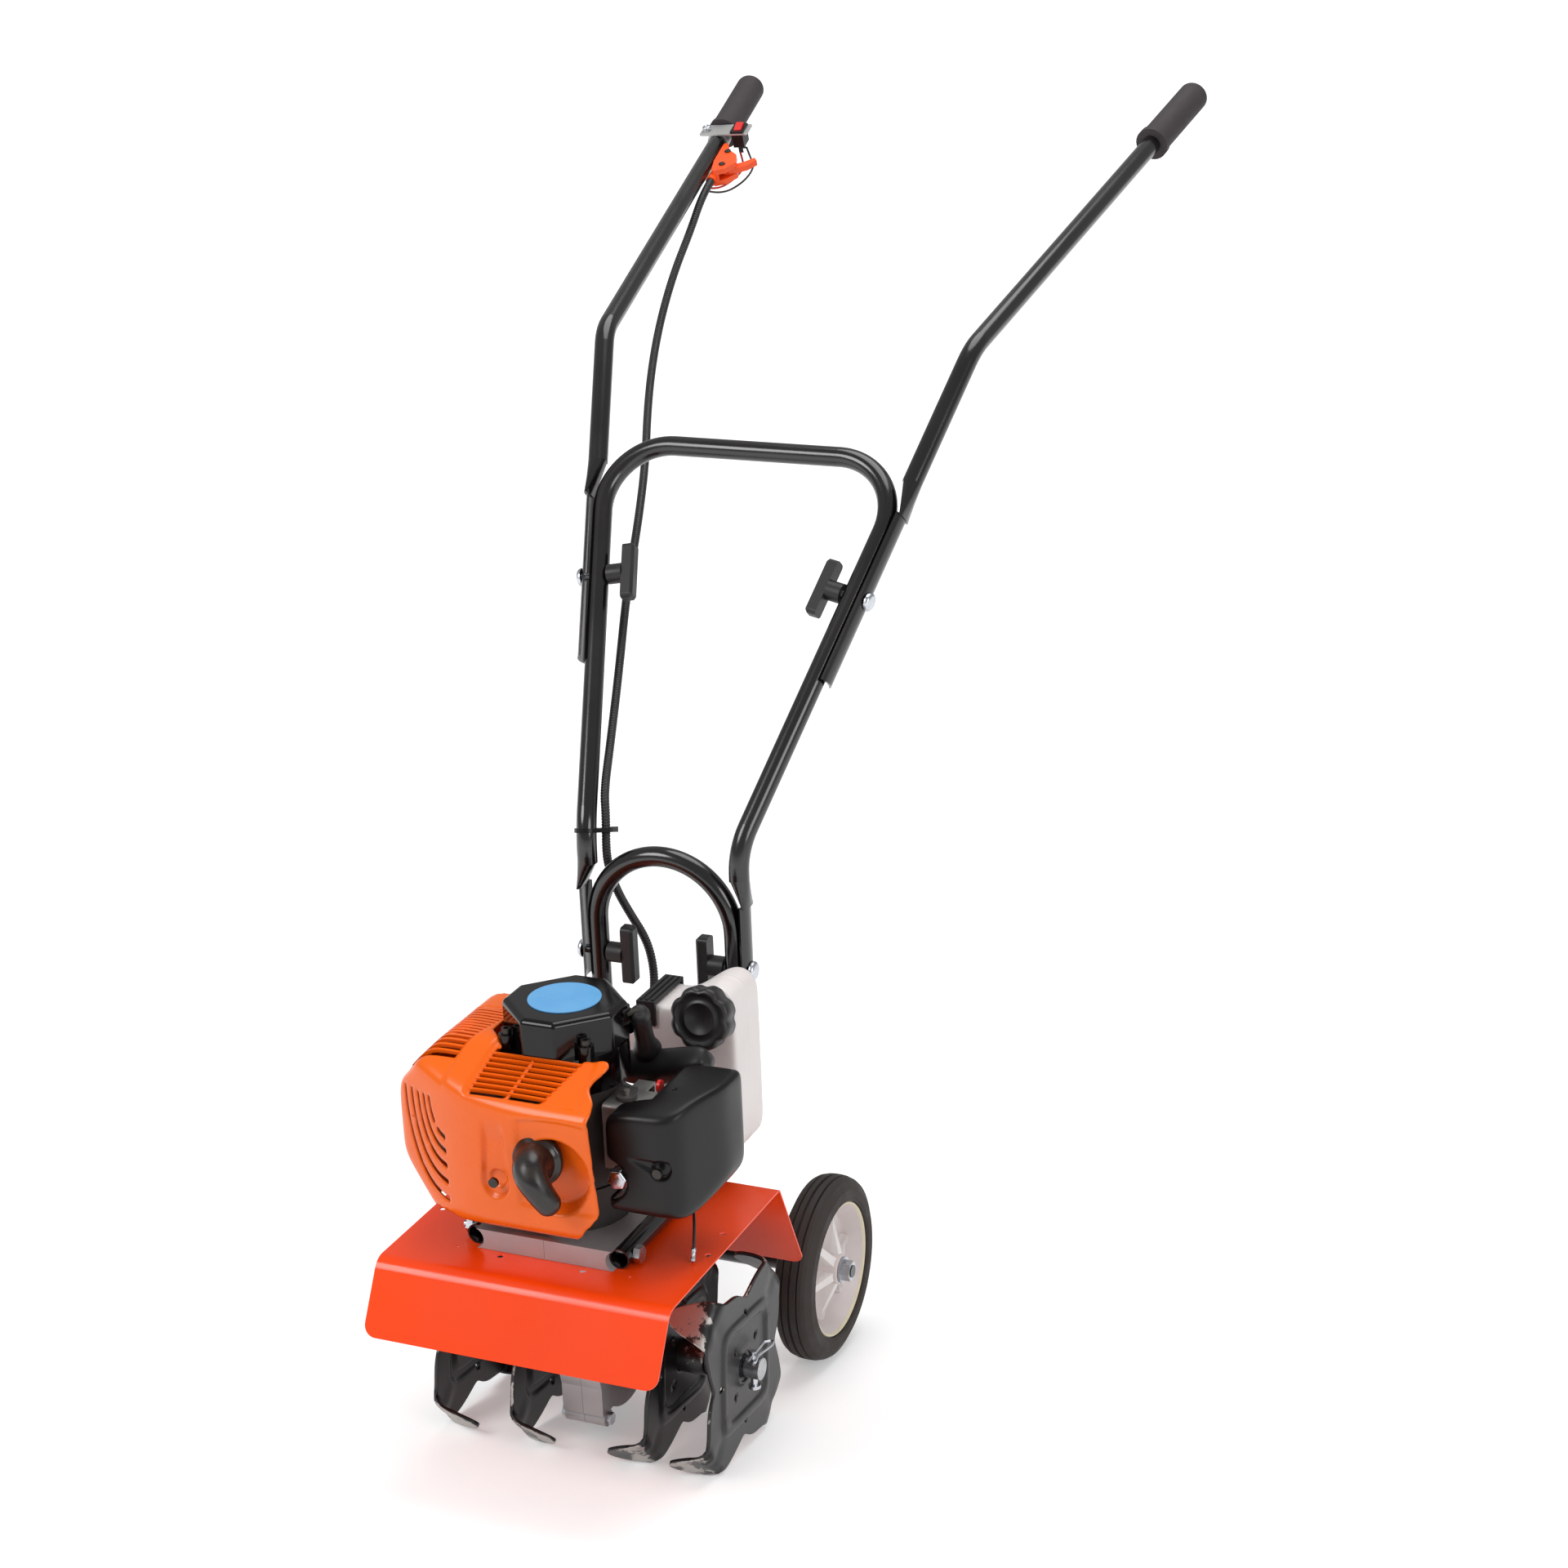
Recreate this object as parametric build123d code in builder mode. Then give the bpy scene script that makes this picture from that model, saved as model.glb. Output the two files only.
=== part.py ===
from build123d import *
from math import cos, pi, radians, sin, sqrt, tan
import os

os.makedirs("parts", exist_ok=True)

# Garden tiller. Millimetres. Machine frame: x to the machine's left, y to the rear, z up,
# origin on the tine axle. The whole machine stands pitched nose down on tines and wheels.

# Stance
nose_pitch = 5.3
axle_line_y = -361.13
axle_line_z = 83.08

# Steel tube frame
tube_r = 9.5
tube_wall = 1.5
tube_bore_r = tube_r - tube_wall
bow_half = 69.0
rail_front = -98.0
bow_leg_y = 165.0
bow_bend_r = 42.0
arch_z = 341.0
fender_top = 136.0
seat_gap = 0.1
hex_sides = 6
rail_z = fender_top + tube_r + seat_gap
rail_bolt_y = -84.0

# Carriage bolts of the folding handles
bolt_r = 4.0
running_fit = 0.06
bolt_head_r = 9.0
bolt_head_h = 4.5
bolt_dome_r = 3.6
lower_bolt_z = 309.0
fold_gap = 0.7
press_thick = 3.2
press_half = 11.5
press_dish = 3.0
press_ring = 2.8
press_lip = 1.6

# Lower handle hoop
hoop_x = 76.5
hoop_bend_z = 426.0
hoop_round_z = 396.0
hoop_press_top = 374.0
hoop_press_low = 284.0
hoop_corner = (158.5, 412.0, 729.0)
hoop_bend_r = 60.0

# Upper handles, measured along the hoop leg from its lower bend
upper_low = 172.0
upper_bolt = 257.6
upper_press_top = 345.0
upper_round = 380.0
upper_bend = 522.0
upper_off = 7.5
upper_bend_r = 50.0
grip_tip = (254.2, 1004.0, 987.0)
grip_r = 15.5
grip_len = 118.0
grip_over = 6.0
grip_collar_r = 17.0
grip_collar_len = 8.0
grip_end_r = 7.0

# T knobs
knob_stem_r = 9.6
knob_stem_len = 15.0
knob_bar_len = 56.0
knob_bar_wide = 15.0
knob_bar_thick = 12.0
knob_gap = 0.5
knob_corner_r = 4.0
knob_bevel = 2.5

# Fender
fender_thick = 1.5
fender_half = 141.0
fender_front = -150.0
fender_rear = 83.0
front_lip = (-184.0, 77.0)
rear_lip = (132.0, 37.0)
front_bend_r = 16.0
rear_bend_r = 4.0
lip_corner_r = 12.0
fender_holes = [(-40.0, -111.5, 3.2), (40.0, -111.5, 3.2), (-131.0, -50.0, 3.0), (131.0, -50.0, 3.0),
                (127.0, -10.5, 3.0), (-127.0, -10.5, 3.0), (84.0, -108.0, 1.6), (-84.0, -108.0, 1.6)]
neck_hole_r = 26.0
neck_flare = 8.0

# Gearbox
crank_y = -38.0
chamber_r = 57.0
case_half = 20.0
column_r = 13.0
column_low = -46.0
column_front = -54.0
flange_low = fender_top + 0.3
flange_top = 155.0
flange_front = -105.0
flange_rear = 25.0
flange_half = 66.0
rail_groove_r = tube_r + 0.3
seam_half = 0.15
case_lugs = [(-44.0, -52.0), (42.0, -48.0), (62.0, 10.0), (30.0, 58.0), (-66.0, 30.0)]
lug_r = 8.0
lug_bolt_r = 3.2
lug_hole_r = 3.3
lug_bolt_head = 5.8
lug_bolt_h = 4.5

# Worm drive
gear_module = 2.0
wheel_teeth = 30
wheel_pitch_r = gear_module * wheel_teeth / 2.0
worm_lead = pi * gear_module
worm_pitch_r = -crank_y - wheel_pitch_r
wheel_tip_r = wheel_pitch_r + 1.4
wheel_root_r = wheel_pitch_r - 2.5
tooth_tip_half = 0.7
tooth_root_half = 1.7
wheel_face_half = 4.0
wheel_hub_half = 7.0
wheel_hub_r = 16.0
worm_tip_r = worm_pitch_r + 1.6
worm_core_r = worm_pitch_r - 2.1
thread_tip_half = 0.8
thread_root_half = 1.6
thread_sink = 0.4
worm_turns = 5
wheel_room_r = 34.0
wheel_room_half = 8.0
worm_room_r = 11.5
worm_room_half = 19.0
worm_shaft_r = 8.0
worm_foot_r = 5.0
worm_foot_z = -34.0

# Tine shaft and tines
shaft_r = 10.0
shaft_end = 154.0
tine_phase = 45.0 - nose_pitch
tine_thick = 3.5
tine_spots = [(136.0, -1, "outer"), (-136.0, 1, "outer"), (75.0, -1, "inner"), (-58.0, 1, "inner")]
tine_outline = [(-45.0, 73.0), (-30.0, 79.0), (-17.0, 91.0), (-12.0, 95.0), (12.0, 97.0), (18.0, 90.0), (31.0, 75.0)]
fold_dist = 90.0
blade_flare = 25.0
blade_shape = [(-20.5, -2.0), (20.5, -2.0), (19.0, 14.0), (9.0, 40.0), (-4.0, 45.0), (-9.0, 37.0), (-18.0, 17.0)]
rib_square = 100.0
rib_wide = 9.0
rib_high = 2.2
rib_draft = 20.0
lobe_count = 4
lobe_turn = 360.0 / lobe_count
rib_corner_r = 9.0
tine_hub_r = 15.0
tine_hub_len = 28.0
tine_holes = [(0.0, 30.0, 3.4), (90.0, 30.0, 3.4), (180.0, 30.0, 3.4), (270.0, 30.0, 3.4),
              (45.0, 52.0, 3.0), (135.0, 52.0, 3.0), (225.0, 52.0, 3.0), (315.0, 52.0, 3.0)]
pin_r = 3.0
pin_len = 34.0
pin_head_r = 5.5
pin_head_h = 3.0
pin_x = 146.0
clip_r = 1.2
clip_leg = 30.0
clip_in = 4.0
clip_tail = -12.0
clip_nose = 6.0
clip_bow = 9.0
clip_hug = 4.6
clip_open = 7.0
clip_bend_r = 2.4

# Wheels on their height post
wheel_y = 216.0
tyre_r = 89.0
wheel_z = (tyre_r - axle_line_z - wheel_y * sin(radians(nose_pitch))) / cos(radians(nose_pitch))
tyre_half = 19.0
tread_shape = [(-19.0, 12.0), (-15.0, 4.0), (-12.0, 2.0), (-8.5, 1.0), (-7.5, 3.5), (-6.5, 0.4), (-1.5, 0.0),
               (-0.8, 2.5)]
tyre_mid = 124.0
rim_r = 68.0
rim_in_r = 61.0
rim_half = 17.0
rim_bead = 0.4
rim_ledge = 3.0
hub_ledge = 12.0
hub_r = 15.0
hub_half = 18.5
spoke_count = 10
spoke_wide = 6.0
spoke_half = 11.0
web_half = 2.0
axle_r = 6.0
axle_end = 150.0
axle_tip = 4.0
side_play = 0.5
axle_sleeve_r = 11.0
axle_sleeve_end = 60.0
collar_r = 10.0
post_half = 10.0
post_top = 226.0
socket_half = 15.0
socket_gap = 0.4
set_screw_gap = 0.3
set_screw_len = 16.0
set_screw_hole_r = 5.1
socket_low = 122.0
socket_top = 214.0
plate_low = 178.0
plate_top = 210.0
plate_half = 82.0
plate_thick = 4.0
web_x = 12.0
nut_r = 10.0
nut_h = 8.0
washer_r = 12.5
washer_h = 2.0

# Engine
clutch_house_r = 48.0
clutch_bore_r = 43.0
clutch_floor = 4.0
clutch_house_top = 192.0
drum_r = 41.0
drum_in_r = 38.0
drum_floor = 3.0
drum_low = 160.5
drum_top = 186.0
shoe_r = 36.5
shoe_gap = 5.0
shoe_low = 166.0
shoe_top = 182.0
crank_r = 9.0
crank_low = 165.0
crank_top = 316.0
case_r = 46.0
case_room_r = 36.0
case_low = clutch_house_top + 0.2
case_top = 286.0
case_room_low = 206.0
case_room_top = 272.0
crank_web_r = 33.0
crank_web_h = 12.0
crank_web_side = 30.0
crank_pin_r = 8.0
barrel_r = 27.0
barrel_z = 241.0
barrel_front = -119.0
bore_r = 22.0
fin_half = 37.0
fin_thick = 3.0
fin_corner_r = 8.0
head_thick = 8.0
fin_count = 5
fin_pitch = 8.0
fin_start = -82.0
fly_r = 45.0
fly_low = 291.0
fly_top = 312.0
fly_plate = 8.0
fly_hub_r = 18.0
vane_count = 12
vane_thick = 3.0
vane_inner_r = 24.0

# Recoil starter
recoil_half = 53.0
recoil_cut = 15.7
recoil_edge_r = 5.0
recoil_skirt_r = 54.0
recoil_top_room_r = 42.0
recoil_low = 286.2
recoil_step = 320.0
recoil_top = 355.0
recoil_room_r = 48.0
recoil_wall = 4.0
recoil_round = 6.0
recoil_lug = 38.0
recoil_lug_r = 7.0
recoil_lug_top = 333.0
recoil_lug_deep = 20.0
disc_r = 32.0
disc_thick = 0.8
screw_r = 4.4
screw_h = 5.0
socket_r = 2.4
rope_exit = (56.0, -29.0, 344.0)
rope_way = (0.80, 0.10, 0.59)
rope_r = 1.8
rope_room = 0.6
rope_sink = 3.0
boss_r = 7.0
boss_len = 20.0
neck_lift = 11.5
neck_drop = 5.0
neck_r = 6.0
neck_end_r = 10.0
bar_spot = (62.0, 21.0, 278.0)
bar_way = (0.98, -0.10, 0.17)
bar_len = 86.0
bar_high = 20.0
bar_deep = 22.0
bar_round = 7.0
bar_end_r = 5.0

# Shroud
shroud_plan = [(70.0, -140.0), (-16.0, -140.0), (-62.0, -132.0), (-140.0, -96.0), (-140.0, 15.0), (70.0, 15.0)]
shroud_left = shroud_plan[3][0]
shroud_right = shroud_plan[0][0]
shroud_front = shroud_plan[0][1]
shroud_low = 158.0
shroud_top = 331.0
shroud_wall = 2.6
slope_back = -84.0
slope_cut_z = 277.8
side_slope_x = -98.0
side_slope_top = 329.0
side_cut_z = 258.0
chin_cut_z = 218.0
chin_back_y = -92.0
belly_x = -84.0
belly_cut_z = 233.0
cut_out = -160.0
cut_over = 20.0
cut_long = 200.0
bay_right = 90.0
bay_front = -60.0
bay_rear = 40.0
bay_top = 280.0
rear_left = -48.0
right_left = 24.0
right_top = 284.0
foot_left = -70.0
foot_front = -106.0
foot_top = 192.0
shroud_round = 7.0
shroud_right_back = -94.0
recoil_clear_r = 61.0
plug_x = 22.0
plug_z = 240.0
plug_hole_r = 25.0
louvre_rows = 8
louvre_wide = 3.0
louvre_pitch = 6.4
louvre_len = 30.0
louvre_cols = [-36.0, 0.0, 36.0]
louvre_first = -93.2
side_slot_count = 5
side_slot_wide = 4.0
side_slot_pitch = 10.0
side_slot_r = 26.0
side_slot_y = -30.0
side_slot_z = 262.0
side_slot_from = 185.0
side_slot_span = 75.0
side_slot_deep = 60.0

# Muffler, spark plug and boot
muffler_box = (-118.0, -52.0, -98.0, -56.0, 216.0, 268.0)
muffler_round = 9.0
muffler_port_r = 9.0
plug_r = 6.8
plug_aside = 6.0
plug_hex_h = 6.0
plug_hex_r = 11.0
plug_tip_y = -150.0
boot_r = 15.0
boot_bore_r = 7.0
boot_bore_deep = 26.0
boot_end_r = 3.0
boot_gap = 0.5
boot_back_y = -126.0
boot_front_y = -159.0
boot_arm_r = 9.5
boot_arm_len = 34.0
boot_arm_lean = 20.0

# Carburettor and air filter
carb_box = (46.3, 84.0, -70.0, -30.0, 214.0, 276.0)
carb_bore_r = 9.0
carb_round = 4.0
carb_mid_y = -50.0
carb_mid_z = 250.0
bowl_r = 15.0
bowl_low = 206.0
choke_x = 84.6
choke_thick = 3.0
choke_pivot_z = 262.0
choke_y = -36.0
choke_pin_r = 2.0
choke_arm = 22.0
choke_head_r = 5.5
choke_eye_r = 4.5
choke_wide = 5.0
choke_room = 0.4
choke_sweep = 20.0
choke_foot = 8.0
cam_r = 9.0
cam_low = 276.6
cam_thick = 3.0
cam_y = -52.0
cam_x = 62.0
cam_pin_r = 2.5
cam_arm = 16.0
cam_arm_wide = 6.0
cam_pin_out = 6.0
stop_half = 8.0
stop_thick = 2.0
stop_tall = 17.0
stop_bore = 6.0
stop_bite = 0.6
cover_main = [(98.0, -100.0), (117.0, -100.0), (129.0, -91.0), (148.0, -36.0), (148.0, 2.0), (98.0, 2.0)]
cover_arm = (62.0, 110.0, -100.0, -71.0)
cover_low = 184.0
cover_top = 294.0
cover_arm_top = 283.0
cover_wall = 2.5
cover_round = 6.0
cover_link = (90.0, 110.0, -1.0)
nut_notch = (50.0, -110.0, -80.0)
face_screws = [(112.0, -100.2, 236.0), (-24.0, -139.5, 224.0)]
air_box = (84.2, 100.0, -62.0, -4.0, 222.0, 274.0)
big_nut = (72.0, -86.0, 222.0)
big_nut_r = 9.0
big_nut_h = 9.0
big_stud_r = 4.0
big_stud_out = 14.0

# Fuel tank
tank_outline = [(-4.0, 216.0), (-4.0, 288.0), (10.0, 304.0), (52.0, 304.0), (66.0, 313.0), (90.0, 331.0),
                (104.0, 321.0), (104.0, 170.0), (95.0, 160.0), (52.0, 160.0), (38.0, 178.0)]
tank_front = 78.0
tank_rear = 134.0
tank_wall = 2.5
tank_round = 9.0
cap_spot = (82.0, 78.0, 302.0)
cap_tilt = 12.0
neck_out_r = 21.0
neck_in_r = 17.0
neck_high = 12.0
neck_sink = 10.0
cap_r = 31.0
cap_lobe_r = 9.0
cap_lobe_out = 5.6
cap_high = 22.0
cap_lobes = 8
cap_skirt = 4.0
cap_room = 1.6
strap_half = 9.0
strap_x = 20.0
strap_thick = 3.0
strap_front_low = 284.0
strap_rear_low = 236.0
strap_rib_r = 1.4
strap_ribs = (-5.5, 0.0, 5.5)
bracket_shape = [(60.0, 158.4), (80.0, 158.4), (100.0, 214.0), (100.0, 246.0), (60.0, 246.0)]
bracket_thick = 3.0
shelf_low = 158.4
shelf_top = 159.8
shelf_front = 104.0
shelf_end = 92.0

# Switch and throttle on the right handle, measured from the grip tip along the tube
bracket_at = 132.0
clip_ring_r = 11.4
clip_wide = 14.0
clip_air = 0.3
clip_screw_r = 4.0
clip_screw_h = 5.0
screw_in = 5.0
plate_corner_r = 3.0
bezel_corner_r = 1.5
rocker_shape = [(-6.6, -1.6), (-6.6, 0.6), (0.0, 2.2), (6.6, 3.4), (6.6, -0.6), (0.0, -3.2)]
plate_in = 36.0
plate_out = -18.0
plate_wide = 24.0
switch_x = 24.0
switch_long = 19.0
switch_wide = 12.0
switch_deep = 17.0
switch_room = 0.4
rocker_room = 0.8
rocker_well = 8.0
tab_spots = (-5.0, 5.0)
tab_wide = 4.8
tab_long = 9.0
bezel_long = 22.0
bezel_wide = 15.0
bezel_thick = 1.8
rocker_long = 14.0
rocker_wide = 8.0
rocker_high = 5.0
rocker_sink = 3.0
house_shape = [(10.2, -16.0), (15.0, -16.0), (21.0, -32.0), (32.0, -44.0), (36.0, -62.0), (28.0, -76.0),
               (14.0, -82.0), (10.2, -56.0)]
house_top = -3.0
house_low = 15.0
slot_top = 2.6
slot_low = 9.4
trigger_pivot = (24.0, -62.0)
trigger_thick = 6.0
trigger_pin_r = 2.5
trigger_eye_r = 5.5
ferrule_wall = 1.2
ferrule_long = 14.0
slot_side = 46.0
slot_in = 16.0
slot_back = 6.0
house_edge_r = 2.5
trigger_shape = [(20.0, -66.0), (28.0, -67.0), (46.0, -58.0), (54.0, -46.0), (50.0, -40.0), (40.0, -50.0),
                 (24.0, -57.0)]

# Corrugated conduit, tie and loose stop wire
hose_r = 4.2
hose_groove_r = 3.4
hose_bore_r = 2.4
rib_shares = (0.0, 0.2, 0.55, 0.75)
hose_upper_ribs = 60
hose_lower_ribs = 24
hose_exit = (14.0, 6.0, -88.0)
hose_upper_way = [(-214.0, 742.0, 873.0), (-219.0, 706.0, 834.0), (-213.0, 656.0, 794.0), (-198.0, 600.0, 758.0),
                  (-178.0, 544.0, 725.0), (-154.0, 486.0, 692.0), (-134.0, 424.0, 651.0), (-115.0, 352.0, 600.0),
                  (-95.0, 286.0, 540.0), (-81.0, 232.0, 486.0), (-71.0, 196.0, 456.0)]
hose_lower_way = [(-61.5, 177.5, 388.0), (-59.0, 186.0, 362.0), (-53.0, 199.0, 334.0), (-42.0, 208.0, 306.0),
                  (-35.0, 206.0, 280.0), (-29.0, 192.0, 258.0), (-25.0, 166.0, 243.0), (-22.0, 132.0, 238.0),
                  (-20.0, 100.0, 238.0), (-13.0, 70.0, 238.0), (3.0, 46.0, 237.0), (28.0, 30.0, 239.0),
                  (52.0, 15.0, 248.0)]
hose_end = (64.0, -9.0, 267.0)
run_share = 0.45
tie_up = 27.0
tie_slack = 5.0
tie_room = 0.4
tie_head = 6.0
hose_lead = 16.0
tie_thick = 1.4
tie_wide = 4.0
stop_wire_way = [(106.0, -22.0, 182.2), (112.0, -36.0, 173.0), (120.0, -52.0, 160.0), (124.0, -66.0, 141.0)]
stop_wire_r = 1.3
ferrule_r = 2.2
ferrule_len = 12.0

# Places and planes of the machine frame
machine = Plane(origin=(0, axle_line_y, axle_line_z), x_dir=(1, 0, 0),
                z_dir=(0, -sin(radians(nose_pitch)), cos(radians(nose_pitch))))


def spot(x, y, z):
    return machine.from_local_coords(Vector(x, y, z))


def way(x, y, z):
    return machine.x_dir * x + machine.y_dir * y + machine.z_dir * z


def level(z, x=0, y=0):
    return Plane(origin=spot(x, y, z), x_dir=machine.x_dir, z_dir=machine.z_dir)


def facing_left(x, y=0, z=0):
    return Plane(origin=spot(x, y, z), x_dir=machine.y_dir, z_dir=machine.x_dir)


def facing_front(y, x=0, z=0):
    return Plane(origin=spot(x, y, z), x_dir=machine.x_dir, z_dir=machine.y_dir * -1)


def block(x0, x1, y0, y1, z0, z1, mode=Mode.ADD):
    with BuildSketch(level(z0, (x0 + x1) / 2, (y0 + y1) / 2)) as base:
        Rectangle(x1 - x0, y1 - y0)
    extrude(base.sketch, amount=z1 - z0, mode=mode)


def drum(plane, radius, length, mode=Mode.ADD):
    with BuildSketch(plane) as base:
        Circle(radius)
    extrude(base.sketch, amount=length, mode=mode)


def hexagon(plane, radius, length, mode=Mode.ADD):
    with BuildSketch(plane) as base:
        RegularPolygon(radius, hex_sides)
    extrude(base.sketch, amount=length, mode=mode)


def keep(piece, name):
    piece.label = name
    export_step(piece, f"parts/{name}.step")


# Hoop leg frame: leg_dir runs up the leg, out_dir points away from the machine
leg_foot = (hoop_x, bow_leg_y, hoop_bend_z)
leg_span = sqrt(sum((b - a) ** 2 for a, b in zip(leg_foot, hoop_corner)))
leg_unit = [(b - a) / leg_span for a, b in zip(leg_foot, hoop_corner)]
out_len = sqrt(1 - leg_unit[0] ** 2)
out_unit = [(1 - leg_unit[0] ** 2) / out_len, -leg_unit[0] * leg_unit[1] / out_len,
            -leg_unit[0] * leg_unit[2] / out_len]


def leg_place(along, off, side):
    x, y, z = [f + along * t + off * n for f, t, n in zip(leg_foot, leg_unit, out_unit)]
    return spot(side * x, y, z)


def leg_plane(along, side):
    return Plane(origin=leg_place(along, 0, side), x_dir=way(side * out_unit[0], out_unit[1], out_unit[2]),
                 z_dir=way(side * leg_unit[0], leg_unit[1], leg_unit[2]))


def pressed_profile():
    inner = tube_r + fold_gap
    outer = inner + press_thick
    with BuildLine() as outline:
        a = ThreePointArc((inner, -press_half), (inner + press_dish, 0), (inner, press_half))
        b = ThreePointArc((inner + press_lip, press_half), (outer + press_dish, 0), (inner + press_lip, -press_half))
        Line(a @ 1, b @ 0)
        Line(b @ 1, a @ 0)
    make_face(outline.edges())


press_mid = tube_r + fold_gap + press_dish + press_thick / 2 - 2 * seat_gap
press_outer = tube_r + fold_gap + press_thick + press_dish


# Base frame bow: two rails on the fender, bent up behind the engine into an arch
with BuildPart() as base_frame:
    with BuildLine() as bow_way:
        bend_low = bow_leg_y - bow_bend_r
        for side in (1, -1):
            Line(spot(side * bow_half, rail_front, rail_z), spot(side * bow_half, bend_low, rail_z))
            ThreePointArc(spot(side * bow_half, bend_low, rail_z),
                          spot(side * bow_half, bend_low + bow_bend_r * sin(pi / 4),
                               rail_z + bow_bend_r * (1 - cos(pi / 4))),
                          spot(side * bow_half, bow_leg_y, rail_z + bow_bend_r))
            Line(spot(side * bow_half, bow_leg_y, rail_z + bow_bend_r), spot(side * bow_half, bow_leg_y, arch_z))
        ThreePointArc(spot(bow_half, bow_leg_y, arch_z), spot(0, bow_leg_y, arch_z + bow_half),
                      spot(-bow_half, bow_leg_y, arch_z))
    bow_wire = Wire(bow_way.edges())
    with BuildSketch(Plane(origin=spot(bow_half, rail_front, rail_z), x_dir=machine.x_dir, z_dir=machine.y_dir)):
        Circle(tube_r)
        Circle(tube_bore_r, mode=Mode.SUBTRACT)
    sweep(path=bow_wire)
    with BuildSketch(facing_left(0, bow_leg_y, lower_bolt_z)):
        Circle(bolt_r + running_fit)
    extrude(amount=bow_half + 2 * tube_r, both=True, mode=Mode.SUBTRACT)
    with BuildSketch(facing_left(0, rail_bolt_y, rail_z)):
        Circle(lug_hole_r)
    extrude(amount=bow_half + 2 * tube_r, both=True, mode=Mode.SUBTRACT)
keep(base_frame.part, "base_frame")

# Fender: one bent sheet with a front and a rear flap
with BuildPart() as fender:
    with BuildSketch(facing_left(0)):
        with BuildLine():
            FilletPolyline(front_lip, (fender_front, fender_top), (fender_rear, fender_top), rear_lip,
                           radius=[front_bend_r, rear_bend_r])
            offset(amount=fender_thick, side=Side.RIGHT)
        make_face()
    extrude(amount=fender_half, both=True)
    lip_edges = []
    for lip in (front_lip, rear_lip):
        for side in (1, -1):
            near = fender.edges().filter_by(lambda e: abs(e.length - fender_thick) < 2 * seat_gap)
            lip_edges.append(near.sort_by_distance(spot(side * fender_half, lip[0], lip[1]))[0])
    fillet(lip_edges, lip_corner_r)
    with BuildSketch(level(fender_top + 1)):
        for x, y, r in fender_holes:
            with Locations((x, y)):
                Circle(r)
        with Locations((0, crank_y)):
            Circle(neck_hole_r)
    extrude(amount=-2 * fender_thick, mode=Mode.SUBTRACT)
keep(fender.part, "fender")


# Gearbox: cast case in two halves, worm column in front of the wheel chamber
def gear_case(keep_side, plane):
    with BuildPart() as case:
        with BuildSketch(facing_left(0)):
            Circle(chamber_r)
            for y, z in case_lugs:
                with Locations((y, z)):
                    Circle(lug_r)
            with Locations((column_front / 2, column_low / 2)):
                Rectangle(-column_front, -column_low)
        extrude(amount=case_half, both=True)
        drum(level(column_low, 0, crank_y), column_r, flange_top - column_low)
        with BuildSketch(level(flange_low - neck_flare, 0, crank_y)):
            Circle(column_r)
        with BuildSketch(level(flange_low, 0, crank_y)):
            Circle(column_r + neck_flare)
        loft()
        block(-flange_half, flange_half, flange_front, flange_rear, flange_low, flange_top)
        for side in (1, -1):
            drum(Plane(origin=spot(side * bow_half, flange_front - 1, rail_z), x_dir=machine.x_dir,
                       z_dir=machine.y_dir), rail_groove_r, flange_rear - flange_front + 2, Mode.SUBTRACT)
        with BuildSketch(facing_left(0)):
            Circle(wheel_room_r)
        extrude(amount=wheel_room_half, both=True, mode=Mode.SUBTRACT)
        with BuildSketch(facing_left(0)):
            Circle(shaft_r + running_fit)
        extrude(amount=case_half + 1, both=True, mode=Mode.SUBTRACT)
        drum(level(-worm_room_half, 0, crank_y), worm_room_r, 2 * worm_room_half, Mode.SUBTRACT)
        drum(level(worm_room_half - 1, 0, crank_y), worm_shaft_r + running_fit, flange_top, Mode.SUBTRACT)
        drum(level(worm_foot_z - 1, 0, crank_y), worm_foot_r + running_fit, worm_room_half, Mode.SUBTRACT)
        with BuildSketch(facing_left(0)):
            for y, z in case_lugs:
                with Locations((y, z)):
                    Circle(lug_hole_r)
            with Locations((rail_bolt_y, rail_z)):
                Circle(lug_hole_r)
        extrude(amount=2 * bow_half, both=True, mode=Mode.SUBTRACT)
        split(bisect_by=plane, keep=keep_side)
    return case.part


keep(gear_case(Keep.TOP, Plane.YZ.offset(seam_half)), "gearbox_left")
keep(gear_case(Keep.BOTTOM, Plane.YZ.offset(-seam_half)), "gearbox_right")

# Hex bolts: case lugs, the long rail bolt and the post's lock bolt
with BuildPart() as chassis_bolts:
    for y, z in case_lugs:
        drum(facing_left(-case_half - lug_bolt_h, y, z), lug_bolt_r, 2 * case_half + 2 * lug_bolt_h)
        hexagon(facing_left(case_half, y, z), lug_bolt_head, lug_bolt_h)
        hexagon(facing_left(-case_half - lug_bolt_h, y, z), lug_bolt_head, lug_bolt_h)
    rail_side = bow_half + tube_r
    drum(facing_left(-rail_side - nut_h - 2, rail_bolt_y, rail_z), lug_bolt_r, 2 * (rail_side + nut_h))
    hexagon(facing_left(rail_side, rail_bolt_y, rail_z), nut_r - 2, nut_h - 2)
    hexagon(facing_left(-rail_side - nut_h + 2, rail_bolt_y, rail_z), nut_r - 2, nut_h - 2)
    drum(Plane(origin=spot(0, wheel_y + post_half + socket_gap + set_screw_gap, (socket_low + plate_low) / 2),
               x_dir=machine.x_dir, z_dir=machine.y_dir), axle_r - 1, set_screw_len)
    hexagon(Plane(origin=spot(0, wheel_y + socket_half, (socket_low + plate_low) / 2),
                  x_dir=machine.x_dir, z_dir=machine.y_dir), nut_r, nut_h)
keep(chassis_bolts.part, "chassis_bolts")

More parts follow.
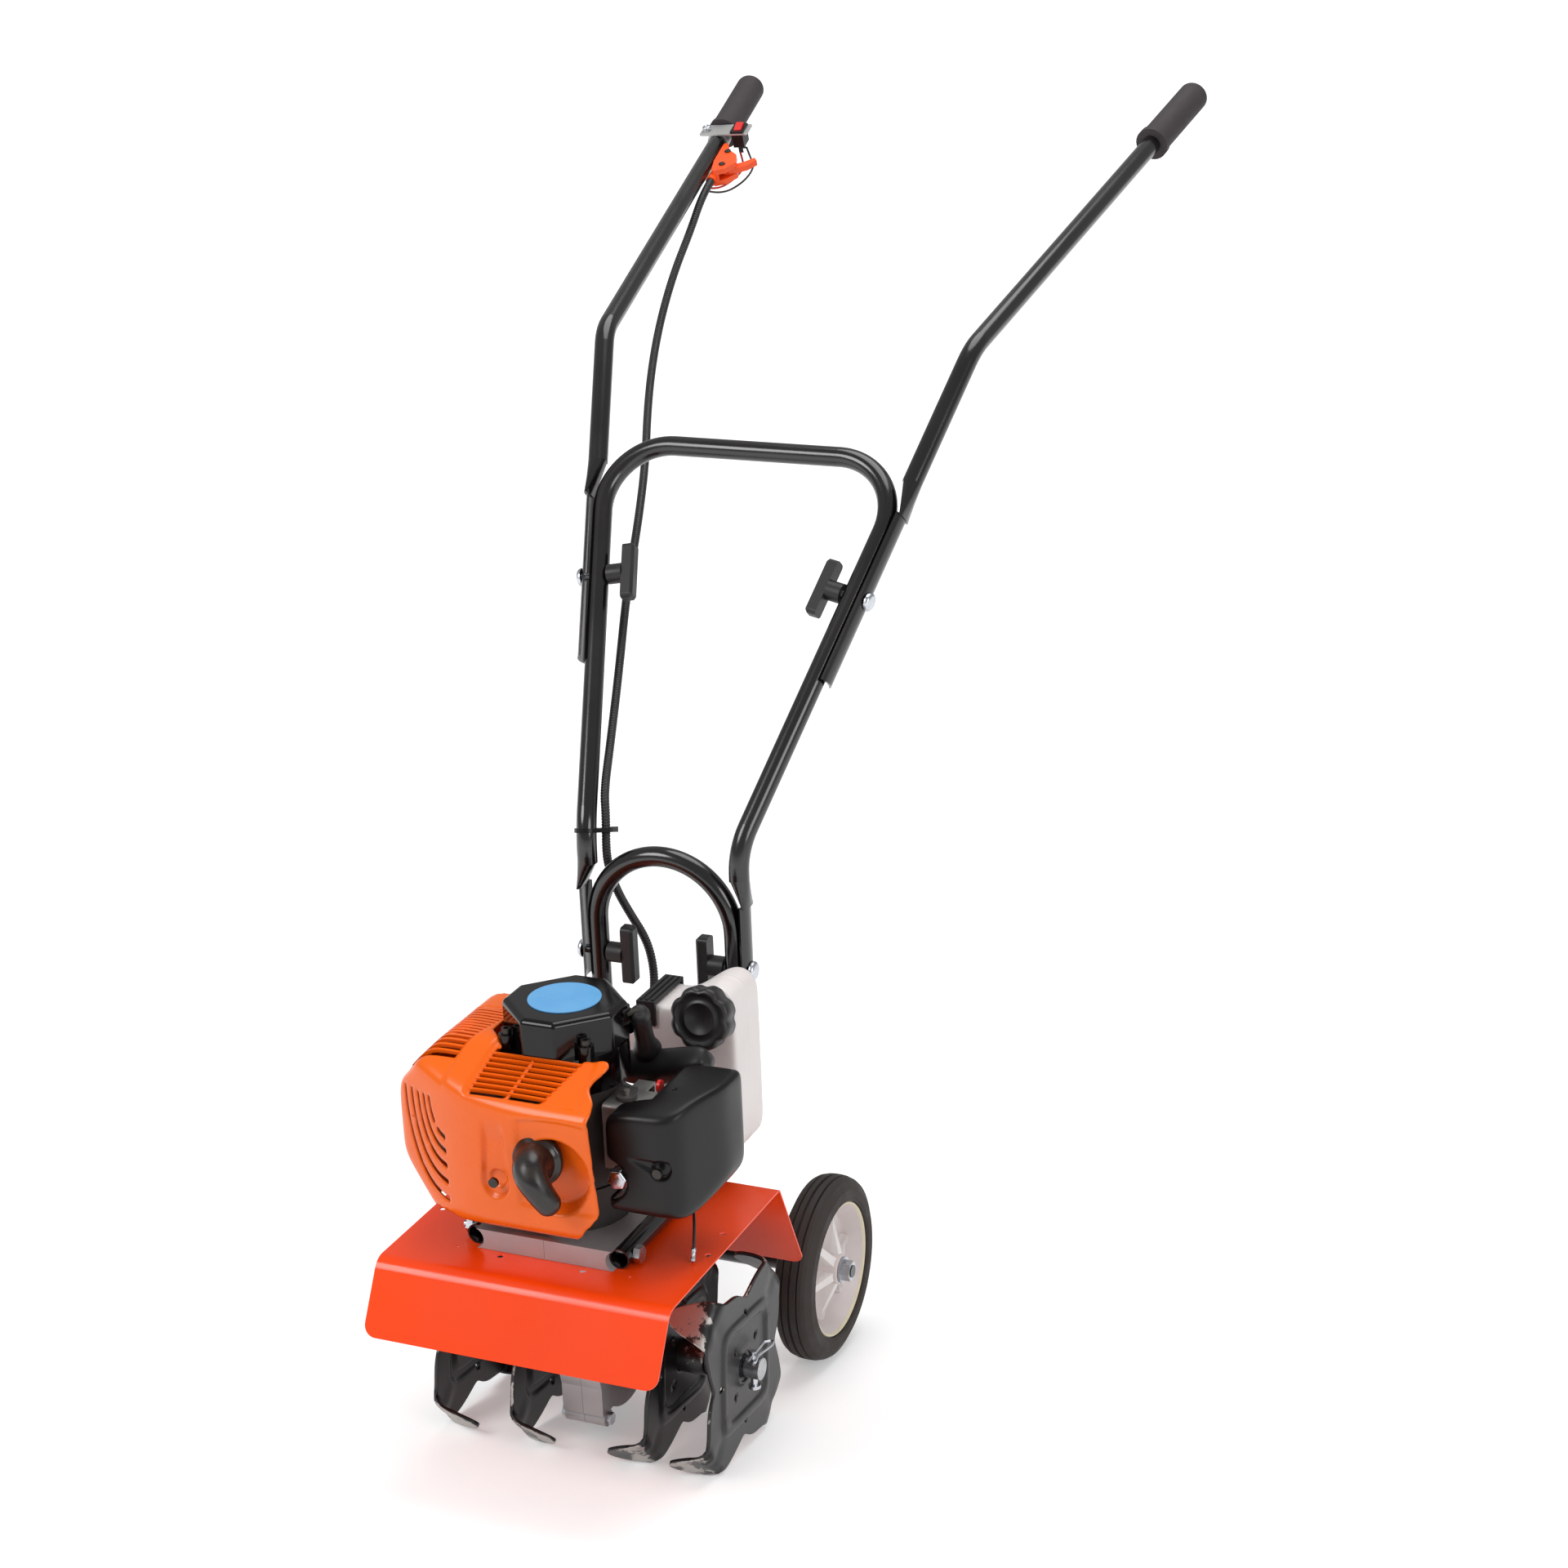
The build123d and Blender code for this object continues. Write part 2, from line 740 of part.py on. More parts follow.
# Worm wheel on the tine shaft
with BuildPart() as worm_wheel:
    with BuildSketch(facing_left(0)):
        Circle(wheel_root_r)
        with PolarLocations(0, wheel_teeth):
            Polygon((wheel_root_r - 1, tooth_root_half), (wheel_tip_r, tooth_tip_half),
                    (wheel_tip_r, -tooth_tip_half), (wheel_root_r - 1, -tooth_root_half), align=None)
    extrude(amount=wheel_face_half, both=True)
    with BuildSketch(facing_left(0)):
        Circle(wheel_hub_r)
    extrude(amount=wheel_hub_half, both=True)
    with BuildSketch(facing_left(0)):
        Circle(shaft_r + seat_gap / 2)
    extrude(amount=wheel_hub_half + 1, both=True, mode=Mode.SUBTRACT)
keep(worm_wheel.part, "worm_wheel")

with BuildPart() as tine_shaft:
    with BuildSketch(facing_left(0)):
        Circle(shaft_r)
    extrude(amount=shaft_end, both=True)
    for side in (1, -1):
        drum(Plane(origin=spot(side * pin_x, 0, -pin_len), x_dir=machine.x_dir, z_dir=machine.z_dir),
             pin_r + seat_gap, 2 * pin_len, Mode.SUBTRACT)
keep(tine_shaft.part, "tine_shaft")

# Worm shaft: single start worm, plain shaft and the clutch drum on top
thread_frame = Plane(origin=spot(0, crank_y, -worm_turns / 2 * worm_lead), x_dir=machine.y_dir, z_dir=machine.z_dir)
thread_way = thread_frame.location * Helix(pitch=worm_lead, height=worm_turns * worm_lead, radius=worm_pitch_r)
with BuildPart() as worm_shaft:
    drum(level(worm_foot_z, 0, crank_y), worm_foot_r, worm_room_half)
    drum(level(-worm_room_half + 1, 0, crank_y), worm_core_r, 2 * worm_room_half)
    drum(level(worm_room_half - 1, 0, crank_y), worm_shaft_r, drum_low - worm_room_half + 2)
    with BuildSketch(Plane(origin=thread_way @ 0, x_dir=machine.y_dir, z_dir=thread_way % 0)):
        Polygon((worm_core_r - worm_pitch_r - thread_sink, -thread_root_half),
                (worm_tip_r - worm_pitch_r, -thread_tip_half), (worm_tip_r - worm_pitch_r, thread_tip_half),
                (worm_core_r - worm_pitch_r - thread_sink, thread_root_half),
                align=None)
    sweep(path=thread_way, is_frenet=True)
    drum(level(drum_low, 0, crank_y), drum_r, drum_top - drum_low)
    drum(level(drum_low + drum_floor, 0, crank_y), drum_in_r, drum_top - drum_low, Mode.SUBTRACT)
keep(worm_shaft.part, "worm_shaft")


# Tines: stamped plates with a raised square and four blades folded inward
def tine(x, inward, kind):
    turn = tine_phase
    with BuildPart() as plate:
        rim = []
        for quarter in range(lobe_count):
            for angle, radius in tine_outline:
                a = radians(turn + lobe_turn * quarter + angle)
                rim.append((radius * cos(a), radius * sin(a)))
        with BuildSketch(facing_left(x - tine_thick / 2)):
            with BuildLine():
                Polyline(*rim, close=True)
            make_face()
            for angle, radius, hole in tine_holes:
                a = radians(turn + angle)
                with Locations((radius * cos(a), radius * sin(a))):
                    Circle(hole, mode=Mode.SUBTRACT)
        extrude(amount=tine_thick)
        face_out = x - inward * tine_thick / 2
        with BuildSketch(facing_left(face_out)):
            with Locations(Rotation(0, 0, turn + lobe_turn / 2)):
                RectangleRounded(rib_square, rib_square, rib_corner_r)
                RectangleRounded(rib_square - 2 * rib_wide, rib_square - 2 * rib_wide, rib_corner_r / 2,
                                 mode=Mode.SUBTRACT)
        extrude(amount=-inward * rib_high, taper=rib_draft)
        for quarter in range(lobe_count):
            a = radians(turn + lobe_turn * quarter)
            rad = (0, cos(a), sin(a))
            tan = (0, -sin(a), cos(a))
            lean = radians(blade_flare)
            go = way(inward * cos(lean), rad[1] * sin(lean), rad[2] * sin(lean))
            side_way = way(*tan)
            fold = Plane(origin=spot(x - inward * tine_thick / 2, fold_dist * rad[1], fold_dist * rad[2]),
                         x_dir=side_way, z_dir=side_way.cross(go))
            with BuildSketch(fold):
                Polygon(*blade_shape, align=None)
            extrude(amount=tine_thick / 2, both=True)
        hub_to = x + inward * tine_hub_len if kind == "outer" else x - inward * tine_hub_len
        with BuildSketch(facing_left(x)):
            Circle(tine_hub_r)
        extrude(amount=hub_to - x)
        with BuildSketch(facing_left(x)):
            Circle(shaft_r + seat_gap)
        extrude(amount=2 * tine_hub_len, both=True, mode=Mode.SUBTRACT)
    return plate.part


for kind in ("outer", "inner"):
    pair = [tine(x, inward, kind) for x, inward, which in tine_spots if which == kind]
    keep(Compound(children=pair), f"tines_{kind}")

# Clevis pins through the shaft ends, each held by a spring clip
with BuildPart() as tine_pins:
    for side in (1, -1):
        drum(level(-pin_len / 2, side * pin_x, 0), pin_r, pin_len)
        drum(level(-pin_len / 2 - pin_head_h, side * pin_x, 0), pin_head_r, pin_head_h)
        clip_z = pin_len / 2 - clip_in
        with BuildLine() as clip_way:
            FilletPolyline(spot(side * pin_x, clip_tail, clip_z), spot(side * pin_x, clip_leg - clip_nose, clip_z),
                           spot(side * (pin_x + clip_open), clip_leg, clip_z),
                           spot(side * (pin_x + clip_bow), clip_leg - clip_nose - 2, clip_z),
                           spot(side * (pin_x + clip_hug), 0, clip_z),
                           spot(side * (pin_x + clip_open), clip_tail, clip_z), radius=clip_bend_r)
        clip_wire = clip_way.wires()[0]
        with BuildSketch(Plane(origin=clip_wire @ 0, z_dir=clip_wire % 0)):
            Circle(clip_r)
        sweep(path=clip_wire)
keep(tine_pins.part, "tine_pins")

# Wheel height socket on the bow's legs
with BuildPart() as axle_socket:
    leg_rear = bow_leg_y + tube_r + seat_gap
    block(-plate_half, plate_half, leg_rear, leg_rear + plate_thick, plate_low, plate_top)
    block(-socket_half, socket_half, wheel_y - socket_half, wheel_y + socket_half, socket_low, socket_top)
    for side in (1, -1):
        mid = side * web_x
        block(mid - 2, mid + 2, leg_rear + 1, wheel_y - socket_half + 1, plate_low, plate_top)
    room = post_half + socket_gap
    block(-room, room, wheel_y - room, wheel_y + room, socket_low - 1, socket_top + 1, Mode.SUBTRACT)
    drum(Plane(origin=spot(0, wheel_y, (socket_low + plate_low) / 2), x_dir=machine.x_dir, z_dir=machine.y_dir),
         set_screw_hole_r, 2 * socket_half, Mode.SUBTRACT)
keep(axle_socket.part, "axle_socket")

# Post, axle and its nuts
with BuildPart() as axle_post:
    block(-post_half, post_half, wheel_y - post_half, wheel_y + post_half, wheel_z, post_top)
    with BuildSketch(facing_left(0, wheel_y, wheel_z)):
        Circle(axle_sleeve_r)
    extrude(amount=axle_sleeve_end, both=True)
    with BuildSketch(facing_left(0, wheel_y, wheel_z)):
        Circle(axle_r)
    extrude(amount=axle_end + axle_tip, both=True)
    inner_stop = tyre_mid - hub_half - side_play
    for side in (1, -1):
        drum(facing_left(side * axle_sleeve_end, wheel_y, wheel_z), collar_r, side * (inner_stop - axle_sleeve_end))
keep(axle_post.part, "axle_post")

with BuildPart() as axle_nuts:
    for side in (1, -1):
        outer_stop = side * (tyre_mid + hub_half + side_play)
        drum(facing_left(outer_stop, wheel_y, wheel_z), washer_r, side * washer_h)
        hexagon(facing_left(outer_stop + side * washer_h, wheel_y, wheel_z), nut_r, side * nut_h)
        drum(facing_left(outer_stop - side, wheel_y, wheel_z), axle_r, side * 2 * nut_h, Mode.SUBTRACT)
keep(axle_nuts.part, "axle_nuts")


# Wheels: ribbed tyre on a spoked plastic hub
def tyre(side):
    mid = side * tyre_mid
    axis = Axis(spot(mid, wheel_y, wheel_z), machine.x_dir)
    with BuildPart() as ring:
        half = tyre_half
        outer = [(-half, rim_r + side_play)] + [(across, tyre_r - down) for across, down in tread_shape]
        mirrored = [(-u, v) for u, v in reversed(outer)]
        with BuildSketch(facing_front(wheel_y, mid, wheel_z)):
            Polygon(*(outer + mirrored), align=None)
        revolve(axis=axis)
    return ring.part


def hub(side):
    mid = side * tyre_mid
    axis = Axis(spot(mid, wheel_y, wheel_z), machine.x_dir)
    with BuildPart() as wheel:
        with BuildSketch(facing_front(wheel_y, mid, wheel_z)):
            Polygon((-rim_half, rim_in_r), (-rim_half, rim_r + rim_bead), (rim_half, rim_r + rim_bead),
                    (rim_half, rim_in_r),
                    (web_half, rim_in_r - rim_ledge), (-web_half, rim_in_r - rim_ledge), align=None)
            Polygon((-hub_half, axle_r + running_fit), (-hub_half, hub_r), (hub_half, hub_r),
                    (hub_half, axle_r + running_fit), align=None)
            Polygon((-web_half, hub_r - 1), (-web_half, hub_r + hub_ledge), (web_half, hub_r + hub_ledge),
                    (web_half, hub_r - 1), align=None)
        revolve(axis=axis)
        with BuildSketch(facing_left(mid, wheel_y, wheel_z)):
            with PolarLocations((hub_r + rim_in_r) / 2, spoke_count):
                Rectangle(rim_in_r - hub_r + rim_ledge, spoke_wide)
        extrude(amount=spoke_half, both=True)
    return wheel.part


for name, side in (("left", 1), ("right", -1)):
    keep(tyre(side), f"tyre_{name}")
    keep(hub(side), f"wheel_{name}")

# Engine: clutch housing, finned block, crank and flywheel
with BuildPart() as clutch_housing:
    drum(level(flange_top + seat_gap, 0, crank_y), clutch_house_r, clutch_house_top - flange_top - seat_gap)
    drum(level(flange_top + clutch_floor, 0, crank_y), clutch_bore_r, clutch_house_top, Mode.SUBTRACT)
    drum(level(flange_top - 1, 0, crank_y), worm_shaft_r + 1, 2 * clutch_floor, Mode.SUBTRACT)
keep(clutch_housing.part, "clutch_housing")

with BuildPart() as engine_case:
    drum(level(case_low, 0, crank_y), case_r, case_top - case_low)
    with BuildSketch(facing_front(crank_y, 0, barrel_z)):
        Circle(barrel_r)
    extrude(amount=crank_y - barrel_front)
    for i in range(fin_count):
        with BuildSketch(facing_front(fin_start - i * fin_pitch, 0, barrel_z)):
            RectangleRounded(2 * fin_half, 2 * fin_half, fin_corner_r)
        extrude(amount=fin_thick)
    drum(level(case_room_low, 0, crank_y), case_room_r, case_room_top - case_room_low, Mode.SUBTRACT)
    with BuildSketch(facing_front(crank_y, 0, barrel_z)):
        Circle(bore_r)
    extrude(amount=crank_y - barrel_front - head_thick, mode=Mode.SUBTRACT)
    drum(level(case_low - 1, 0, crank_y), crank_r + running_fit, case_top, Mode.SUBTRACT)
    with BuildSketch(facing_front(barrel_front - 2, plug_x - plug_aside, plug_z)):
        Circle(plug_r)
    extrude(amount=-12, mode=Mode.SUBTRACT)
keep(engine_case.part, "engine_case")

with BuildPart() as crankshaft:
    drum(level(crank_low, 0, crank_y), crank_r, crank_top - crank_low)
    with BuildSketch(level(shoe_low, 0, crank_y)):
        Circle(shoe_r)
        with PolarLocations(shoe_r, 2):
            Rectangle(2 * shoe_r, shoe_gap, mode=Mode.SUBTRACT)
    extrude(amount=shoe_top - shoe_low)
    with BuildSketch(level(case_room_low + crank_web_h / 2, 0, crank_y)):
        Circle(crank_web_r)
        with Locations((crank_web_r - 2, 0)):
            Rectangle(2 * crank_web_r - crank_web_side, 2 * crank_web_r, mode=Mode.SUBTRACT)
    extrude(amount=crank_web_h)
    drum(level(crank_low, 0, crank_y), crank_r, crank_top - crank_low)
keep(crankshaft.part, "crankshaft")

with BuildPart() as flywheel:
    drum(level(fly_low, 0, crank_y), fly_r, fly_plate)
    drum(level(fly_low, 0, crank_y), fly_hub_r, fly_top - fly_low)
    with BuildSketch(level(fly_low, 0, crank_y)):
        with PolarLocations((fly_r + vane_inner_r) / 2, vane_count):
            Rectangle(fly_r - vane_inner_r - 1, vane_thick)
    extrude(amount=fly_top - fly_low)
    drum(level(fly_low - 1, 0, crank_y), crank_r, fly_top, Mode.SUBTRACT)
keep(flywheel.part, "flywheel")

# Recoil starter housing, its badge disc and screws
exit_dir = way(*rope_way)
with BuildPart() as recoil_housing:
    drum(level(recoil_low, 0, crank_y), recoil_skirt_r, recoil_step - recoil_low)
    with BuildSketch(level(recoil_step, 0, crank_y)) as recoil_plan:
        Polygon((recoil_half, -recoil_cut), (recoil_half, recoil_cut), (recoil_cut, recoil_half),
                (-recoil_cut, recoil_half), (-recoil_half, recoil_cut), (-recoil_half, -recoil_cut),
                (-recoil_cut, -recoil_half), (recoil_cut, -recoil_half), align=None)
        fillet(recoil_plan.vertices(), recoil_edge_r)
    extrude(amount=recoil_top - recoil_step)
    fillet(recoil_housing.faces().sort_by(Axis(machine.origin, machine.z_dir))[-1].edges(), recoil_round)
    for u in (1, -1):
        for v in (1, -1):
            corner = level(recoil_lug_top, u * recoil_lug, crank_y + v * recoil_lug)
            drum(corner.offset(-recoil_lug_deep), recoil_lug_r, recoil_lug_deep)
    drum(Plane(origin=spot(*rope_exit) - exit_dir * boss_len, z_dir=exit_dir), boss_r, boss_len)
    drum(level(recoil_low - 1, 0, crank_y), recoil_room_r, recoil_step - recoil_wall - recoil_low + 1,
         Mode.SUBTRACT)
    drum(level(recoil_low - 1, 0, crank_y), recoil_top_room_r, recoil_top - recoil_wall - recoil_low + 1,
         Mode.SUBTRACT)
    drum(Plane(origin=spot(*rope_exit) - exit_dir * 2 * boss_len, z_dir=exit_dir), rope_r + rope_room, cut_long,
         Mode.SUBTRACT)
keep(recoil_housing.part, "recoil_housing")

with BuildPart() as recoil_disc:
    drum(level(recoil_top + seat_gap / 2, 0, crank_y), disc_r, disc_thick)
keep(recoil_disc.part, "recoil_disc")

with BuildPart() as case_screws:
    for u in (1, -1):
        for v in (1, -1):
            drum(level(recoil_lug_top, u * recoil_lug, crank_y + v * recoil_lug), screw_r, screw_h)
    for x, y, z in face_screws:
        drum(facing_front(y, x, z), screw_r, screw_h - 2)
    hexagon(facing_front(big_nut[1], big_nut[0], big_nut[2]), big_nut_r, big_nut_h)
    drum(facing_front(carb_box[2] - 2 * seat_gap, big_nut[0], big_nut[2]), big_stud_r,
         carb_box[2] - big_nut[1] + big_stud_out)
    for u in (1, -1):
        for v in (1, -1):
            hexagon(level(recoil_lug_top + 2, u * recoil_lug, crank_y + v * recoil_lug), socket_r, screw_h,
                    Mode.SUBTRACT)
keep(case_screws.part, "case_screws")

# Pull handle: tapered neck and a crosswise bar, on a rope
rope_bend = spot(*rope_exit) + exit_dir * neck_lift
bar_mid = spot(*bar_spot)
neck_dir = (bar_mid - rope_bend).normalized()
bar_dir = way(*bar_way)
bar_dir = (bar_dir - neck_dir * bar_dir.dot(neck_dir)).normalized()
with BuildPart() as starter_handle:
    with BuildSketch(Plane(origin=rope_bend + neck_dir * neck_drop, x_dir=bar_dir, z_dir=neck_dir)):
        Circle(neck_r)
    with BuildSketch(Plane(origin=bar_mid, x_dir=bar_dir, z_dir=neck_dir)):
        Circle(neck_end_r)
    loft()
    with BuildSketch(Plane(origin=bar_mid - bar_dir * bar_len / 2, x_dir=neck_dir, z_dir=bar_dir)):
        RectangleRounded(bar_high, bar_deep, bar_round)
    extrude(amount=bar_len)
    fillet(starter_handle.faces().sort_by(Axis(bar_mid, bar_dir))[-1].edges(), bar_end_r)
    fillet(starter_handle.faces().sort_by(Axis(bar_mid, bar_dir))[0].edges(), bar_end_r)
keep(starter_handle.part, "starter_handle")

with BuildPart() as starter_rope:
    drum(Plane(origin=spot(*rope_exit) - exit_dir * (boss_len - rope_sink), z_dir=exit_dir), rope_r, boss_len - 2)
keep(starter_rope.part, "starter_rope")


# Engine shroud: gloss cover over cylinder and muffler, open to the rear
def shroud_block(inset, rounded):
    with BuildPart() as hull:
        with BuildSketch(level(shroud_low + inset)):
            with BuildLine():
                Polyline(*shroud_plan, close=True)
            make_face()
            if inset:
                offset(amount=-inset, kind=Kind.INTERSECTION)
        extrude(amount=shroud_top - shroud_low - 2 * inset)
        if rounded:
            fillet(hull.edges().filter_by(Axis(machine.origin, machine.z_dir)).sort_by(
                Axis(machine.origin, machine.y_dir))[0:4], shroud_round)
        with BuildSketch(facing_left(0)):
            with BuildLine():
                Polyline((slope_back, shroud_top - inset), (cut_out, slope_cut_z - inset),
                         (cut_out, shroud_top + cut_over), (slope_back, shroud_top + cut_over), close=True)
            make_face()
            with BuildLine():
                Polyline((cut_out, chin_cut_z + inset), (chin_back_y, shroud_low + inset),
                         (chin_back_y, shroud_low - cut_over), (cut_out, shroud_low - cut_over), close=True)
            make_face()
        extrude(amount=cut_long, both=True, mode=Mode.SUBTRACT)
        with BuildSketch(facing_front(0)):
            with BuildLine():
                Polyline((side_slope_x + cut_over, shroud_top - inset), (side_slope_x, side_slope_top - inset),
                         (cut_out, side_cut_z - inset), (cut_out, shroud_top + cut_over),
                         (side_slope_x + cut_over, shroud_top + cut_over), close=True)
            make_face()
            with BuildLine():
                Polyline((belly_x, shroud_low + inset), (cut_out, belly_cut_z + inset),
                         (cut_out, shroud_low - cut_over), (belly_x, shroud_low - cut_over), close=True)
            make_face()
        extrude(amount=cut_long, both=True, mode=Mode.SUBTRACT)
    return hull.part


with BuildPart() as engine_shroud:
    add(shroud_block(0, True))
    add(shroud_block(shroud_wall, False), mode=Mode.SUBTRACT)
    block(shroud_left + 2 * shroud_wall, bay_right, bay_front, bay_rear, shroud_low + shroud_wall, bay_top,
          Mode.SUBTRACT)
    block(rear_left, bay_right, crank_y, bay_rear, shroud_low - 1, shroud_top + 1, Mode.SUBTRACT)
    block(right_left, bay_right, shroud_right_back, bay_rear, shroud_low - 1, shroud_top + 1, Mode.SUBTRACT)
    block(shroud_right - 2 * shroud_wall, bay_right, shroud_front + 2 * shroud_wall, bay_rear, shroud_low - 1,
          right_top, Mode.SUBTRACT)
    block(foot_left, bay_right, foot_front, bay_rear, shroud_low - 1, foot_top, Mode.SUBTRACT)
    drum(level(shroud_low - 1, 0, crank_y), recoil_clear_r, cut_long, Mode.SUBTRACT)
    with BuildSketch(facing_front(shroud_front + cut_over, plug_x, plug_z)):
        Circle(plug_hole_r)
    extrude(amount=2 * cut_over, mode=Mode.SUBTRACT)
    for row in range(louvre_rows):
        y = louvre_first - row * louvre_pitch
        with BuildSketch(level(right_top)):
            for col in louvre_cols:
                with Locations((col, y)):
                    SlotOverall(louvre_len, louvre_wide)
        extrude(amount=cut_long, mode=Mode.SUBTRACT)
    for row in range(side_slot_count):
        r = side_slot_r + row * side_slot_pitch
        with BuildSketch(facing_left(cut_out, side_slot_y, side_slot_z)):
            with BuildLine():
                CenterArc((0, 0), r, side_slot_from, side_slot_span)
            trace(line_width=side_slot_wide)
        extrude(amount=side_slot_deep, mode=Mode.SUBTRACT)
keep(engine_shroud.part, "engine_shroud")

with BuildPart() as muffler:
    x0, x1, y0, y1, z0, z1 = muffler_box
    block(x0, x1, y0, y1, z0, z1)
    fillet(muffler.edges(), muffler_round)
    drum(facing_left(x1 - 2, (y0 + y1) / 2, barrel_z), muffler_port_r, -fin_half - 2 * seat_gap - x1 + 2)
keep(muffler.part, "muffler")

with BuildPart() as spark_plug:
    drum(facing_front(barrel_front + head_thick, plug_x - plug_aside, plug_z), plug_r,
         barrel_front + head_thick - plug_tip_y)
    hexagon(facing_front(barrel_front - 2 * seat_gap, plug_x - plug_aside, plug_z), plug_hex_r, plug_hex_h)
keep(spark_plug.part, "spark_plug")

# Boot: round base over the plug, arm turned down
with BuildPart() as plug_boot:
    drum(facing_front(boot_back_y - boot_gap, plug_x - plug_aside, plug_z), boot_r, boot_back_y - boot_front_y)
    lean = radians(boot_arm_lean)
    arm_top = spot(plug_x - plug_aside, boot_front_y + boot_arm_r - 1, plug_z)
    drum(Plane(origin=arm_top, z_dir=way(sin(lean), 0, -cos(lean))), boot_arm_r, boot_arm_len)
    fillet(plug_boot.faces().sort_by(Axis(machine.origin, way(sin(lean), 0, -cos(lean))))[-1].edges(), boot_end_r)
    drum(facing_front(boot_back_y, plug_x - plug_aside, plug_z), boot_bore_r, boot_bore_deep, Mode.SUBTRACT)
keep(plug_boot.part, "plug_boot")

# Carburettor with its choke lever and throttle cam
with BuildPart() as carburettor:
    x0, x1, y0, y1, z0, z1 = carb_box
    block(x0, x1, y0, y1, z0, z1)
    fillet(carburettor.edges().filter_by(Axis(machine.origin, machine.x_dir)), carb_round)
    drum(level(bowl_low, (x0 + x1) / 2, carb_mid_y), bowl_r, z0 - bowl_low + 2)
    block(*air_box)
    drum(level(z1 - 1, cam_x, cam_y), cam_pin_r, cam_thick + cam_pin_out)
    drum(facing_left(x1 - 2, choke_y, choke_pivot_z), choke_pin_r, air_box[1] - x1)
    with BuildSketch(facing_left(x0 - 1, carb_mid_y, carb_mid_z)):
        Circle(carb_bore_r)
    extrude(amount=air_box[1], mode=Mode.SUBTRACT)
    block(choke_x - choke_room, choke_x + choke_thick + choke_room, choke_y - choke_sweep, choke_sweep,
          choke_pivot_z - choke_foot, z1 + choke_foot, Mode.SUBTRACT)
    drum(facing_left(x1 - 2, choke_y, choke_pivot_z), choke_pin_r, choke_thick + 2 * choke_pin_r)
    stop_y = hose_end[1] - hose_r + stop_bite
    block(cam_x - stop_half, cam_x + stop_half, y1 - 2 * stop_thick, stop_y, z1 - 1 - stop_thick, z1 - 1)
    block(cam_x - stop_half, cam_x + stop_half, stop_y - stop_thick, stop_y, z1 - 1 - stop_tall, z1 - 1)
    drum(facing_front(stop_y + 1, hose_end[0], hose_end[2]), hose_bore_r, stop_bore, Mode.SUBTRACT)
keep(carburettor.part, "carburettor")

with BuildPart() as choke_lever:
    with BuildSketch(facing_left(choke_x, choke_y, choke_pivot_z)):
        Circle(choke_eye_r)
        with Locations((0, choke_arm / 2)):
            Rectangle(choke_wide, choke_arm)
        with Locations((0, choke_arm)):
            Circle(choke_head_r)
        Circle(choke_pin_r + running_fit, mode=Mode.SUBTRACT)
    extrude(amount=choke_thick)
keep(choke_lever.part, "choke_lever")

with BuildPart() as carb_lever:
    with BuildSketch(level(cam_low, cam_x, cam_y)):
        Circle(cam_r)
        with Locations((0, cam_arm / 2)):
            Rectangle(cam_arm_wide, cam_arm)
        Circle(cam_pin_r + running_fit, mode=Mode.SUBTRACT)
    extrude(amount=cam_thick)
keep(carb_lever.part, "carb_lever")

# Air filter cover: hollow box with a lower arm in front of the carburettor
with BuildPart() as filter_cover:
    with BuildSketch(level(cover_low)):
        Polygon(*cover_main, align=None)
    extrude(amount=cover_top - cover_low)
    x0, x1, y0, y1 = cover_arm
    block(x0, x1, y0, y1, cover_low, cover_arm_top)
    top_faces = filter_cover.faces().filter_by(Plane(origin=machine.origin, z_dir=machine.z_dir))
    fillet(top_faces.sort_by(Axis(machine.origin, machine.z_dir))[-1].edges(), cover_round)
    with BuildSketch(level(cover_low + cover_wall)):
        Polygon(*cover_main, align=None)
        offset(amount=-cover_wall, kind=Kind.INTERSECTION)
    extrude(amount=cover_top - cover_low - 2 * cover_wall - 2, mode=Mode.SUBTRACT)
    block(x0 + cover_wall, x1, y0 + cover_wall, y1 + 1, cover_low + cover_wall, cover_arm_top - cover_wall,
          Mode.SUBTRACT)
    block(cover_link[0], cover_link[1], y1 - side_play, cover_link[2], cover_low + cover_wall,
          cover_top - cover_wall - 2, Mode.SUBTRACT)
    block(nut_notch[0], big_nut[0] + big_nut_r + 2, nut_notch[1], nut_notch[2], big_nut[2] - big_nut_r - 2,
          big_nut[2] + big_nut_r + 2,
          Mode.SUBTRACT)
keep(filter_cover.part, "filter_cover")

# Fuel tank with its neck, and the screw cap
cap_axis = way(0, -cos(radians(cap_tilt)), sin(radians(cap_tilt)))
cap_base = spot(*cap_spot)
with BuildPart() as fuel_tank:
    with BuildSketch(facing_front(tank_rear)):
        Polygon(*tank_outline, align=None)
    extrude(amount=tank_rear - tank_front)
    fillet(fuel_tank.faces().sort_by(Axis(machine.origin, machine.y_dir))[0].edges(), tank_round)
    fillet(fuel_tank.faces().sort_by(Axis(machine.origin, machine.y_dir))[-1].edges(), tank_round)
    drum(Plane(origin=cap_base - cap_axis * neck_sink, z_dir=cap_axis), neck_out_r, neck_sink + neck_high)
    with BuildSketch(facing_front(tank_rear - tank_wall)):
        Polygon(*tank_outline, align=None)
        offset(amount=-tank_wall - 2, kind=Kind.INTERSECTION)
    extrude(amount=tank_rear - tank_front - 2 * tank_wall, mode=Mode.SUBTRACT)
    drum(Plane(origin=cap_base - cap_axis * 2 * neck_sink, z_dir=cap_axis), neck_in_r, 2 * neck_sink + 2 * neck_high,
         Mode.SUBTRACT)
keep(fuel_tank.part, "fuel_tank")

